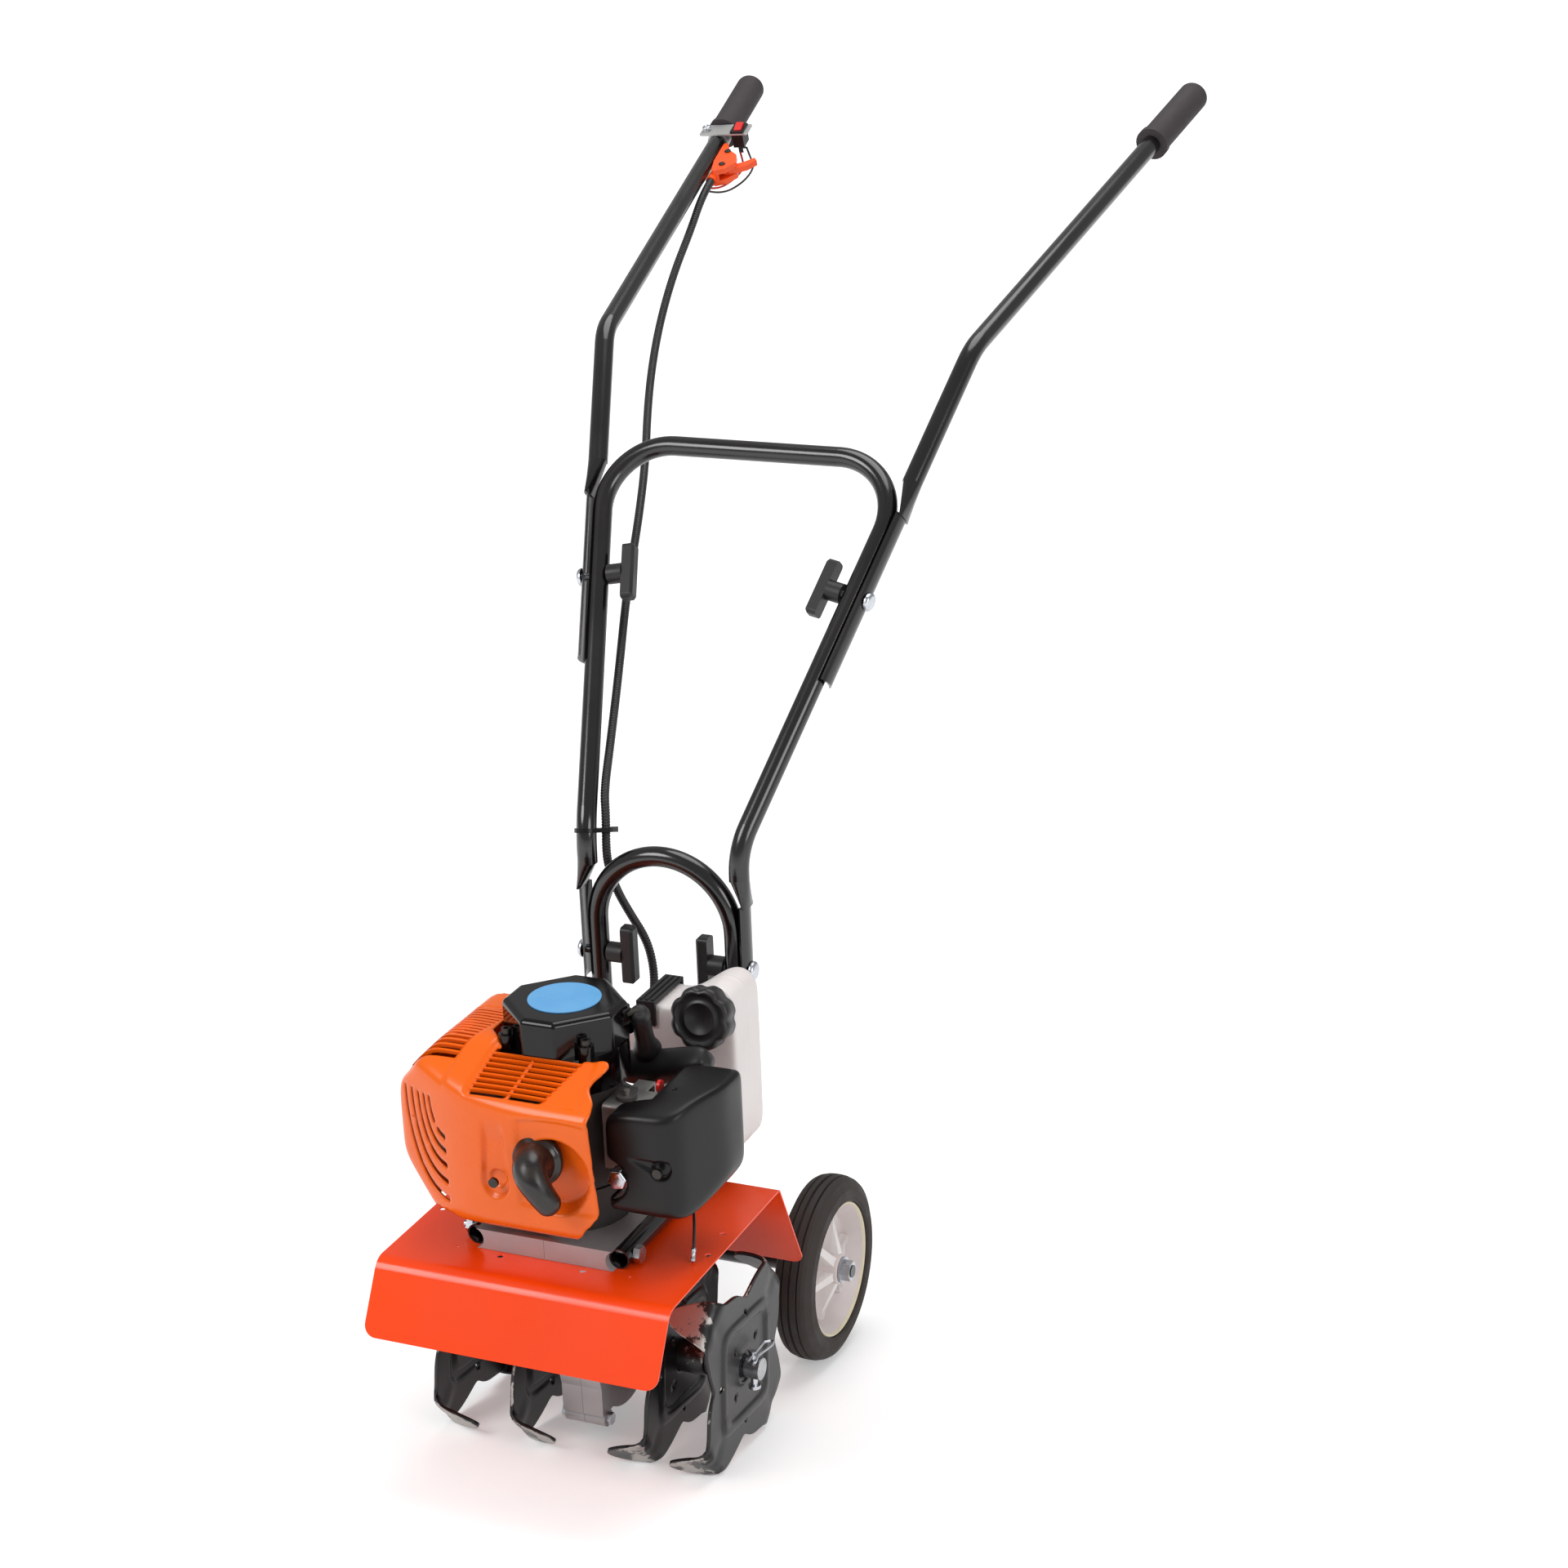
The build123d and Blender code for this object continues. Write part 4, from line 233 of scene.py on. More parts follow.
# Polypropylene of the hubs' ribs: warm white with brown rubs
hub_pp = coating("white_polypropylene", "#EFEAE9", "#E0D9D5", 0.4, 60, 2.0, 0.02, 0.08, scuff="#A0907C")
# The dish of the hubs is greyer than the ribs, partly from dust and partly as painted shade of the recess,
# and their lip has yellowed in the sun
dust_and_shade_pp = coating("dust_and_shade_polypropylene", "#DCD2D1", "#C9BCB8", 0.45, 40, 2.0, 0.02, 0.12, scuff="#8F7F72")
lip_pp = coating("yellowed_polypropylene", "#E6DCC0", "#D2C4A2", 0.45, 60, 1.0, 0.01)
# Tyre rubber: dull brown black with pale, dusty rubs
tyre_rubber = coating("black_rubber", "#2b2523", "#40362f", 0.75, 25, 1.5, 0.06, 0.1, scuff="#6a5c50")
# Foam rubber of the grips: dull charcoal with a fine deep grain
grip_rubber = coating("foam_rubber", "#302a2d", "#3d3639", 0.72, 20, 0.8, 0.08, 0.08)
# Rubber of the plug boot: black going brown, with a soft shine
boot_rubber = coating("plug_boot_rubber", "#181514", "#2b231c", 0.3, 14, 1.2, 0.02, 0.1)
# Zinc plate on bolts and nuts: bright metal with small cloudy spots
zinc = coating("bright_zinc_plate", "#C9CCD2", "#A9ADB5", 0.3, 12, 0.8, 0.01, 0.1, Metallic=1.0)
# Blackened steel of the small screws: dark metal that still glints
screw_black = coating("blackened_steel", "#3a3836", "#4b4743", 0.35, 8, 0.6, 0.01, 0.1, Metallic=0.9)
# Zinc coated sheet of the brackets: pale grey, satin
bracket_zinc = coating("zinc_sheet", "#BDBDBC", "#A8A8A6", 0.45, 40, 2.0, 0.004, Metallic=0.8)
# Sand cast aluminium: grey metal with a rough skin
cast_aluminium = coating("sand_cast_aluminium", "#A9A7A4", "#8C8A87", 0.5, 18, 0.9, 0.08, 0.1, Metallic=0.85)
# Silver paint on the gearbox castings: only partly metallic, over a smoother skin
silver_cast = coating("silver_painted_casting", "#B4B2B3", "#A3A0A1", 0.42, 40, 0.9, 0.05, 0.08,
                      Metallic=0.35)
# Die cast zinc of the carburettor lever: darker and duller metal
die_cast = coating("die_cast_zinc", "#7d7b7a", "#5f5d5b", 0.5, 14, 0.8, 0.03, 0.1, Metallic=0.9)
# Castings inside the shroud, given a dark grey as painted shade, so that the openings read as deep
shaded_cast = coating("painted_shade_casting", "#2c2826", "#3a3430", 0.6, 25, 0.9, 0.05, 0.1)
# Turned steel of the shafts: bright grey metal
steel = coating("turned_steel", "#B4B5B8", "#97989B", 0.28, 15, 0.6, 0.006, 0.08, Metallic=1.0)
# Bronze of the worm wheel: yellow brown metal
bronze = coating("gear_bronze", "#B98A4A", "#9F7338", 0.35, 15, 0.8, 0.01, 0.08, Metallic=1.0)
# Muffler steel: dull metal, browned by heat
heat_steel = coating("heat_marked_steel", "#6d6258", "#8b8073", 0.5, 20, 0.9, 0.03, 0.12, Metallic=0.9)
# Polypropylene of the choke lever and the switch rocker: clear red
choke_red = coating("red_polypropylene", "#D3201A", "#BE1814", 0.35, 15, 0.8, 0.006)
# Polyethylene of the ribbed hose: black, satin, so each rib takes a highlight
hose_pe = coating("black_polyethylene", "#1b1a1b", "#272526", 0.42, 20, 0.9, 0.01, 0.08)
# Braided nylon of the starter rope: dark and dull with a fine deep grain
rope_nylon = coating("braided_nylon", "#2b2826", "#454039", 0.8, 5, 0.8, 0.1)
# PVC on the wires: smooth and satin, in black and in red
wire_black = coating("black_pvc", "#161617", "#222223", 0.4, 20, 0.9, 0.006)
wire_red = coating("red_pvc", "#C0201C", "#A81814", 0.4, 20, 0.9, 0.006)


# Distance from the tine axle in m over which the paint wears, and the patches' size in mm
WEAR_FROM, WEAR_FULL = 0.084, 0.118
PATCH_MM = 22


def worn_tine():
    """Black dip paint on pressed spring steel, rubbed to bare metal in patches that grow toward the blade
    tips: metal shows where a noise, plus a wear that grows with the distance from the tine axle and on faces
    turned away from it, passes a threshold."""
    mat = blank("worn_black_dip_paint")
    place = node(mat, "TexCoord").outputs["Object"]
    normal = node(mat, "TexCoord").outputs["Normal"]
    off = node(mat, "VectorMath", {0: place, 1: (0.0, AXLE[1] / MM, AXLE[2] / MM)}, operation="SUBTRACT")
    flat = node(mat, "VectorMath", {0: off.outputs[0], 1: (0.0, 1.0, 1.0)}, operation="MULTIPLY")
    reach = node(mat, "VectorMath", {0: flat.outputs[0]}, operation="LENGTH")
    rub = ranged(mat, reach.outputs["Value"], WEAR_FROM, WEAR_FULL, -0.14, 0.06)
    ray = node(mat, "VectorMath", {0: flat.outputs[0]}, operation="NORMALIZE")
    faces_out = node(mat, "VectorMath", {0: ray.outputs[0], 1: normal}, operation="DOT_PRODUCT")
    scour = ranged(mat, faces_out.outputs["Value"], 0.35, 0.85, 0.0, 0.22)
    patch = noise(mat, place, PATCH_MM, 6.0, 0.65)
    worn = node(mat, "Math", {0: rub, 1: scour}, operation="ADD")
    total = node(mat, "Math", {0: worn.outputs[0], 1: patch}, operation="ADD")
    bare = ranged(mat, total.outputs[0], 0.62, 0.67)
    shade = mixed(mat, bare, linear("#161516"), linear("#B5B0AC"))
    gloss = ranged(mat, bare, 0.0, 1.0, 0.34, 0.5)
    bump = node(mat, "Bump", {"Height": patch, "Distance": 0.0003, "Strength": 0.5})
    values = {"Base Color": shade, "Metallic": bare, "Roughness": gloss, "Normal": bump.outputs["Normal"]}
    return close(mat, node(mat, "BsdfPrincipled", values).outputs["BSDF"])


tine_paint = worn_tine()

finish_of = {
    tube_enamel: "base_frame lower_handle upper_handle_left upper_handle_right axle_socket axle_post",
    fender_enamel: "fender",
    silver_cast: "gearbox_left gearbox_right",
    cast_aluminium: "carburettor",
    # The castings inside the shroud are dark as painted shade
    shaded_cast: "clutch_housing engine_case",
    zinc: "chassis_bolts tine_pins axle_nuts lower_bolts upper_bolt_left upper_bolt_right spark_plug",
    screw_black: "case_screws",
    bronze: "worm_wheel",
    steel: "tine_shaft worm_shaft crankshaft flywheel",
    tine_paint: "tines_outer tines_inner",
    tyre_rubber: "tyre_left tyre_right",
    hub_pp: "wheel_left wheel_right",
    recoil_abs: "recoil_housing",
    disc_blue: "recoil_disc",
    knob_nylon: "starter_handle knob_lower_left knob_lower_right knob_upper_left knob_upper_right",
    shroud_abs: "engine_shroud",
    heat_steel: "muffler",
    boot_rubber: "plug_boot",
    choke_red: "choke_lever switch_rocker",
    die_cast: "carb_lever",
    cover_nylon: "filter_cover switch_body cable_tie",
    tank_hdpe: "fuel_tank",
    cap_nylon: "tank_cap tank_strap",
    bracket_zinc: "tank_bracket switch_bracket",
    throttle_abs: "throttle_housing throttle_trigger",
    grip_rubber: "grip_left grip_right",
    hose_pe: "conduit_upper conduit_lower",
    rope_nylon: "starter_rope",
    wire_black: "stop_wire",
}
for material, names in finish_of.items():
    for name in names.split():
        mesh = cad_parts[name].data
        mesh.materials.clear()
        mesh.materials.append(material)


# Stage: pale floor, soft lamps, white surroundings; places in m, lens and sensor in mm, and lamps as name,
# place, width and watts
FLOOR_HALF, FLOOR_Z = 120.0, -0.0008
LAMPS = (("key", (-1.6, -2.6, 2.4), 1.6, 50),
         ("fill", (2.6, -1.6, 1.5), 1.4, 25),
         ("top", (0.2, 0.3, 3.0), 2.0, 34))
LAMP_AIM = np.array((0, -0.1, 0.45))
CAMERA_AT = (1.173, -2.684, 1.302)
CAMERA_DOWN_DEG, CAMERA_TURN_DEG = 14.993, 23.246
CAMERA_LENS, CAMERA_SENSOR = 71.28, 36


def floor():
    """Paper that glows a little for the camera and for reflections, more with the distance, and fades into
    white."""
    mat = blank("pale_floor")
    ray = node(mat, "LightPath").outputs
    place = node(mat, "TexCoord").outputs["Object"]
    far = node(mat, "VectorMath", {0: place}, operation="LENGTH")
    lift = ranged(mat, far.outputs["Value"], 0.5, 3.0, 0.3, 0.8)
    sight = node(mat, "Math", {0: ray["Is Camera Ray"], 1: ray["Is Glossy Ray"]}, operation="MAXIMUM")
    seen = node(mat, "Math", {0: sight.outputs[0], 1: lift}, operation="MULTIPLY")
    paper = node(mat, "BsdfDiffuse", {"Color": (0.9, 0.9, 0.9, 1)})
    glow = node(mat, "Emission", {"Strength": seen.outputs[0]})
    close(mat, node(mat, "AddShader", {0: paper.outputs[0], 1: glow.outputs[0]}).outputs[0])
    corners = [(x * FLOOR_HALF, y * FLOOR_HALF, FLOOR_Z) for x, y in ((-1, -1), (1, -1), (1, 1), (-1, 1))]
    mesh_object("floor", corners, [(0, 1, 2, 3)], mat, False)


def surroundings():
    """A white background, dimmer where it only lights the part."""
    world = bpy.data.worlds.new("studio")
    bpy.context.scene.world = world
    world.use_nodes = True
    world.node_tree.nodes.clear()
    ray = node(world, "LightPath").outputs
    sight = node(world, "Math", {0: ray["Is Camera Ray"], 1: ray["Is Transmission Ray"]},
                 operation="MAXIMUM")
    level = ranged(world, sight.outputs[0], 0.0, 1.0, 0.44, 1.0)
    sky = node(world, "Background", {"Color": (1, 1, 1, 1), "Strength": level})
    node(world, "OutputWorld", {"Surface": sky.outputs[0]})


def lamps():
    """Round area lamps turned toward the middle of the part."""
    for name, spot, wide, power in LAMPS:
        lamp = bpy.data.lights.new(name, "AREA")
        lamp.shape, lamp.size, lamp.energy = "DISK", wide, power
        obj = bpy.data.objects.new(name, lamp)
        obj.location = spot
        aim = LAMP_AIM - np.array(spot)
        tilt, turn = np.arccos(-aim[2] / np.linalg.norm(aim)), np.arctan2(aim[0], -aim[1]) + np.pi
        obj.rotation_euler = (tilt, 0, turn)
        bpy.context.scene.collection.objects.link(obj)


def camera():
    """The photo's viewpoint."""
    data = bpy.data.cameras.new("camera")
    data.lens, data.sensor_width = CAMERA_LENS, CAMERA_SENSOR
    obj = bpy.data.objects.new("camera", data)
    obj.location = CAMERA_AT
    obj.rotation_euler = (np.radians(90 - CAMERA_DOWN_DEG), 0, np.radians(CAMERA_TURN_DEG))
    bpy.context.scene.collection.objects.link(obj)
    bpy.context.scene.camera = obj
    bpy.context.scene.view_settings.view_transform = "Standard"


floor()
surroundings()
lamps()
camera()


def ray_shell(heart, sides, power, turn, dip):
    """Ray from the heart at azimuth turn and polar angle dip, as long as (sum (n.d / h)^power)^(-1/power)
    over flat sides that lie h away along n: a body with those sides and rounded edges."""
    d = np.stack([np.sin(dip) * np.cos(turn), np.sin(dip) * np.sin(turn), np.cos(dip)], -1)
    total = np.zeros(np.shape(turn))
    for n, p in sides:
        n = unit(np.array(n, float))
        total += np.clip(d @ n / (n @ (np.array(p, float) - heart)), 0, None) ** power
    return np.array(heart, float) + d * (total ** (-1 / power))[..., None]


# Openings: the share of a cell's size within which a point slides onto an edge, in how many rounds, and the
# mean distance of its corners in mm over which a cell is kept
EDGE_REACH, EDGE_ROUNDS, KEEP_FROM = 0.62, 4, 0.05


def pierced(a, b, place, gap):
    """Grid place(a, b) with openings where the signed distance gap is below 0: points near an opening's edge
    slide along the slope of gap onto it, a <- a - gap ga / (ga^2 + gb^2), and cells inside are left out.
    Gives points and the cells to keep."""
    e = 1e-3
    p = place(a, b)
    down, along = (np.linalg.norm(np.gradient(p, axis=k), axis=-1) for k in (0, 1))
    near = EDGE_REACH * np.clip(np.maximum(down, along), 0.8, 6)
    for _ in range(EDGE_ROUNDS):
        sd = gap(place(a, b))
        ga = (gap(place(a + e, b)) - sd) / e
        gb = (gap(place(a, b + e)) - sd) / e
        pull = np.where(np.abs(sd) < near, sd / np.clip(ga ** 2 + gb ** 2, 1e-6, None), 0)
        a, b = a - pull * ga, b - pull * gb
    p = place(a, b)
    sd = gap(p)
    corners = sd + np.roll(sd, -1, 1)
    return p, (corners[:-1] + corners[1:]) / 4 > KEEP_FROM


RIM_ROUNDS = 4


def even_rim(points, quads):
    """Evens the open edges of a sheet: each point of an open edge goes half way to the mean of its two edge
    neighbours."""
    edges = np.sort(np.concatenate([quads[:, [k, (k + 1) % 4]] for k in range(4)]), axis=1)
    edges, count = np.unique(edges, axis=0, return_counts=True)
    a, b = edges[count == 1].T
    for _ in range(RIM_ROUNDS):
        near, many = np.zeros_like(points), np.zeros(len(points))
        np.add.at(near, a, points[b])
        np.add.at(near, b, points[a])
        np.add.at(many, np.r_[a, b], 1)
        rim = many == 2
        points[rim] = 0.5 * points[rim] + 0.25 * near[rim]
    return points


def shell_object(name, grids, material, wall, offset=-1, flip=False):
    """One object of one or more pierced grids, with unused points dropped and a sheet's thickness given by
    Solidify."""
    points, faces, first = [], [], 0
    for p, cells in grids:
        quads = np.array(grid_faces(*p.shape[:2], True, False, cells))
        faces.append((quads[:, ::-1] if flip else quads) + first)
        points.append(p.reshape(-1, 3))
        first += len(points[-1])
    used, back = np.unique(np.concatenate(faces), return_inverse=True)
    quads = back.reshape(-1, 4)
    points = even_rim(np.concatenate(points)[used], quads)
    obj = mesh_object(name, points, quads.tolist(), material)
    skin = obj.modifiers.new("wall", "SOLIDIFY")
    skin.thickness, skin.offset = wall, offset
    return obj


# Engine shroud: a rounded many-sided shell with louvres, a plug bowl and a screw pocket
SHROUD_HEART = (-20.0, -45.0, 245.0)
SHROUD_SIDES = [((0, -1, 0), (0, -140, 0)), ((-36, -78, 0), (-62, -132, 0)), ((-8, -46, 0), (-16, -140, 0)),
                ((-1, 0, 0), (-140, 0, 0)), ((0, 0, 1), (0, 0, 331)), ((0, -39, 56), (0, -84, 331)),
                ((-48, 0, 42), (-98, 0, 329)), ((0, -30, -48), (0, -138, 182)),
                ((-1, 0, -1), (-140, 0, 212)), ((1, 0, 0), (86, 0, 0)), ((0, 1, 0), (0, 15, 0)),
                ((0, 0, -1), (0, 0, 148))]
# How far the shell's features are pushed in, in mm
LOUVRE_SINK, BOWL_SINK, PANEL_SINK, POCKET_SINK, SCREW_SINK = 3.0, 16, 2.6, 4.5, 3
# Of the two louvre fields: rear end in y, run toward the front, and how many parts the bars divide it into
LOUVRE_REAR, LOUVRE_RUN, LOUVRE_PARTS = -88, 40, 9
LEFT_REAR, LEFT_RUN, LEFT_PARTS = -22, 80, 15
# Bent louvres on the corner panel: radii and half width, and the angles and half width of their bridges
BENT_RADII, BENT_HALF = np.array([24, 31.5, 39.5, 48.5, 58.0]), 1.6
BRIDGE_ANGLES, BRIDGE_HALF = np.array([0.42, 0.85]), 1.1


def ridge_lean(y):
    """How far the ridge between the louvre fields leans to the side at y."""
    return 0.24 * (y + 84)


def shroud_points(turn, dip):
    """The rounded shell, then two louvre fields pushed in beside a ridge, a round bowl about the plug, a
    shallow panel round the bowl and a screw pocket."""
    p = ray_shell(SHROUD_HEART, SHROUD_SIDES, 30, turn, dip)
    x, y, z = p[..., 0], p[..., 1], p[..., 2]
    ridge = np.abs(x + 56 - ridge_lean(y)) - 9
    field = step(0, 6, ridge) * step(278, 300, z) * step(-132, -126, y) * step(60, 50, x)
    p[..., 2] -= LOUVRE_SINK * field
    front = step(-116, -128, y)
    bowl = np.hypot(x - 33, (z - 237) * 0.95)
    p[..., 1] += front * BOWL_SINK * step(34.5, 27, bowl) * step(194, 206, z)
    panel = step(-4, 3, x) * step(291, 286, z + 0.0024 * (x - 40) ** 2) * step(203, 209, z)
    p[..., 1] += front * PANEL_SINK * panel * step(30, 38, bowl)
    about = np.hypot(x + 25, np.minimum(z - 221, 0))
    pocket = step(15, 11, about + 0.06 * np.clip(z - 221, 0, None)) * step(284, 256, z)
    screw = step(8.6, 7.4, np.hypot(x + 24, z - 224))
    p[..., 1] += front * (POCKET_SINK * pocket + SCREW_SINK * screw)
    return p


def louvre_sides(y):
    """Left edge, middle and right edge of the right louvre field at y."""
    t = (LOUVRE_REAR - y) / LOUVRE_RUN
    return -41 - 9 * t, -1 - 13 * t, 43 - 25 * t


def shroud_gap(p):
    """Signed distance in mm to the nearest opening, negative inside: recoil well, right side, rear, foot,
    the two panes of the right louvre field, the left field round its bare patch, and five bent louvres on
    the corner panel."""
    x, y, z = p[..., 0], p[..., 1], p[..., 2]
    u, v = np.abs(x), np.abs(y + 38)
    well = np.maximum.reduce([u - 55.5, v - 55.5, (u + v) * 0.7071 - 60.5, 290 - z])
    arch = np.where(x < -6, 0.0042 * np.clip(x + 6, -70, 0) ** 2, 0.006 * (x + 6) ** 2)
    foot = z - np.minimum(157 + arch + 0.008 * np.clip(x - 30, 0, None) ** 2, 205)
    upper = 67 - 11 * np.exp(-((y + 110) / 9) ** 2)
    lower = 65 + 0.085 * (297 - z) - 0.45 * np.clip(206 - z, 0, None)
    edge = lower + (upper - lower) * step(284, 302, z)
    right = np.minimum(edge - x, np.maximum(26 - x, -88.5 - y))
    rear = np.maximum(-46 - x, -38 - y)
    first, mid, last = louvre_sides(y)
    behind, before = 1.2 * (y - LOUVRE_REAR), 1.2 * (LOUVRE_REAR - LOUVRE_RUN - y)
    field = np.maximum.reduce([first - x, x - last, 1.4 - np.abs(x - mid), behind, before, 290 - z])
    bare = 13 - np.hypot(x + 92, (y + 62) * 0.8)
    behind, before = y - LEFT_REAR, LEFT_REAR - LEFT_RUN - y
    left = np.maximum.reduce([x + 71 - ridge_lean(y), -120 - x, behind, before, bare, 296 - z])
    s = (x + 62) * -0.908 + (y + 132) * 0.419
    a, b = np.clip(s - 14, 0.01, None), np.clip(290 - z, 0.01, None) / 1.72
    ring = (a ** 2.3 + b ** 2.3) ** (1 / 2.3)
    arcs = np.min(np.abs(ring[..., None] - BENT_RADII), -1) - BENT_HALF
    angle = np.arctan2(b, a)
    bridge = BRIDGE_HALF - np.min(np.abs(angle[..., None] - BRIDGE_ANGLES), -1) * ring
    arcs = np.maximum.reduce([arcs, 18 - s, z - 284, bridge, y + 62])
    return np.minimum.reduce([well, right, rear, foot, field, left, arcs])


def on_shroud(x, y):
    """Points of the shell over (x, y): a guess at the height is scaled by how far its ray goes, ten times
    over."""
    heart = np.array(SHROUD_HEART)
    z = np.full(np.shape(x), 320.0)
    for _ in range(10):
        d = np.stack([x, y, z], -1) - heart
        far = np.linalg.norm(d, axis=-1)
        q = shroud_points(np.arctan2(d[..., 1], d[..., 0]), np.arccos(d[..., 2] / far)) - heart
        z = heart[2] + (z - heart[2]) * np.linalg.norm(q, axis=-1) / far
    return np.stack([x, y, z], -1)


SLAT_TOP, SLAT_FOOT = -0.3, -4.0


def slats(name, path, wide):
    """Louvre bars: a section of four corners, leaning to one side as it goes down, carried along each of the
    paths."""
    along = unit(np.gradient(path, axis=1))
    up = unit(np.cross(along, np.broadcast_to((0, 1, 0), along.shape)))
    up = up * np.sign(up[..., 2:])
    side = unit(np.cross(up, along))
    section = np.array([(-wide / 2, SLAT_TOP), (wide / 2, SLAT_TOP), (wide / 2 + 0.8, SLAT_FOOT),
                        (-wide / 2 + 1.4, SLAT_FOOT)])
    g = row(path[:, :, None] + section[:, 0, None] * side[:, :, None] + section[:, 1, None] * up[:, :, None])
    size = path.shape[1] * 4
    faces = sum([grid_faces(path.shape[1], 4, True, True, None, k * size) for k in range(len(path))], [])
    obj = mesh_object(name, g.reshape(-1, 3), faces, shroud_abs, False)
    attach(obj, "chassis")


def shroud():
    """The shell, its grid four times as close on the left and front, and the bars of both louvre fields."""
    turn = np.radians(np.r_[np.arange(-10, 160, 3.4), np.arange(160, 350, 0.85)])
    dip = np.radians(np.r_[np.arange(20, 86, 0.9), np.arange(86, 152, 0.9)])
    dip, turn = np.meshgrid(dip, turn, indexing="ij")
    p, cells = pierced(turn, dip, shroud_points, shroud_gap)
    obj = shell_object("shroud_shell", [(row(p), cells)], shroud_abs, 0.0024, -1, True)
    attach(obj, "chassis")
    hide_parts("engine_shroud")
    bars = LOUVRE_REAR - LOUVRE_RUN * np.arange(1, LOUVRE_PARTS) / LOUVRE_PARTS
    y, t = np.meshgrid(bars, np.linspace(0, 1, 30), indexing="ij")
    first, _, last = louvre_sides(y)
    x = first - 1.5 + (last - first + 3) * t
    slats("shroud_slats_right", on_shroud(x, y + 2.4 * t * (1 - t)), 3.1)
    bars = LEFT_REAR - LEFT_RUN * np.arange(1, LEFT_PARTS) / LEFT_PARTS
    y, t = np.meshgrid(bars, np.linspace(0, 1, 24), indexing="ij")
    x = -121 + (50 + ridge_lean(y) + 1.5) * t
    slats("shroud_slats_left", on_shroud(x, y), 3.5)


# Air filter cover: a softly rounded box, open toward the carburettor, with a notch for the stud
COVER_HEART = (108.0, -54.0, 238.0)
COVER_SIDES = [((0, -1, 0), (0, -100, 0)), ((9, -12, 0), (117, -100, 0)), ((55, -19, 0), (129, -91, 0)),
               ((1, 0, 0), (148, 0, 0)), ((0, 1, 0), (0, 2, 0)), ((-1, 0, 0), (62, 0, 0)),
               ((0, 0, 1), (0, 0, 294)), ((0, -14, 36), (0, -74, 294)), ((-12, 0, 34), (100, 0, 293)),
               ((0, 0, -1), (0, 0, 184)), ((36, 0, -30), (148, 0, 206)), ((0, -8, -20), (0, -100, 192))]
GROOVE_SINK, SINK_DEEP = 4.5, 6
STUD_NUT = [(0, 8.4), (13, 8.4), (15, 7.9), (16, 6.8)]
STUD_AT, STUD_WAY = (72, -85, 222), (0, -0.9956, -0.0924)


def cover_points(turn, dip):
    """The rounded box with a tapering groove that runs along the front to a round sink about the screw."""
    p = ray_shell(COVER_HEART, COVER_SIDES, 17, turn, dip)
    x, y, z = p[..., 0], p[..., 1], p[..., 2]
    front = step(-84, -94, y)
    along = np.clip((x - 80) / 34, 0, 1)
    wide = 1.5 + 6.5 * along
    groove = step(wide, wide - 3, np.abs(z - (246 - 8 * along))) * step(78, 90, x) * step(122, 117, x)
    sink = step(9.5, 7, np.hypot(x - 113, z - 237))
    p[..., 1] += front * np.maximum(GROOVE_SINK * groove * along, SINK_DEEP * sink)
    return p


def cover_gap(p):
    """Open where it faces the carburettor, behind the front arm, and at the stud's notch in the arm's
    end."""
    x, y, z = p[..., 0], p[..., 1], p[..., 2]
    inner = np.maximum(x - 96, -72 - y)
    notch = np.maximum.reduce([np.hypot(x - 62, z - 222) - 20, y + 62])
    return np.minimum(inner, notch)


def hexagon(a):
    """Radius factor of six flats: 1 / cos of the angle from the nearest flat's middle."""
    return 1 / np.cos((a + np.pi / 6) % (np.pi / 3) - np.pi / 6)


def filter_cover():
    """The cover's shell, and the nut on the stud that stands in its notch."""
    turn, dip = np.radians(np.arange(0, 360, 2.0)), np.radians(np.arange(2, 179, 1.8))
    dip, turn = np.meshgrid(dip, turn, indexing="ij")
    p, cells = pierced(turn, dip, cover_points, cover_gap)
    obj = shell_object("filter_cover_shell", [(row(p), cells)], cover_nylon, 0.0026, -1, True)
    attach(obj, "chassis")
    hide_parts("filter_cover")
    nut = turned("cover_stud_nut", row(STUD_AT), STUD_WAY, STUD_NUT, zinc, 60, hexagon)
    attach(nut, "chassis")


# Fuel tank: blow moulded, with a shoulder that rises behind the cap
TANK_HEART = (52.0, 106.0, 245.0)
TANK_SIDES = [((0, -1, 0), (0, 78, 0)), ((0, 1, 0), (0, 134, 0)), ((-1, 0, 0), (-4, 0, 0)),
              ((1, 0, 0), (106, 0, 0)), ((0, 0, -1), (0, 0, 160)), ((-38, 0, -42), (38, 0, 178)),
              ((-18, 0, -14), (52, 0, 160)), ((10, 0, -9), (104, 0, 170)), ((-16, 0, 14), (-4, 0, 288)),
              ((-27, 0, 80), (10, 0, 304)), ((10, 0, 14), (104, 0, 321))]
SADDLE_SINK, SEAM_HIGH = 12, 0.5


def tank_points(turn, dip):
    """The rounded tank body; its top sinks between the strap and the shoulder, and a moulding seam runs
    round its middle."""
    p = ray_shell(TANK_HEART, TANK_SIDES, 20, turn, dip)
    x, y, z = p[..., 0], p[..., 1], p[..., 2]
    p[..., 2] -= SADDLE_SINK * np.exp(-((x - 46) / 25) ** 2) * step(284, 304, z)
    seam = SEAM_HIGH * np.exp(-((y - 108) / 0.8) ** 2)
    return p + seam[..., None] * unit(p - np.array(TANK_HEART))


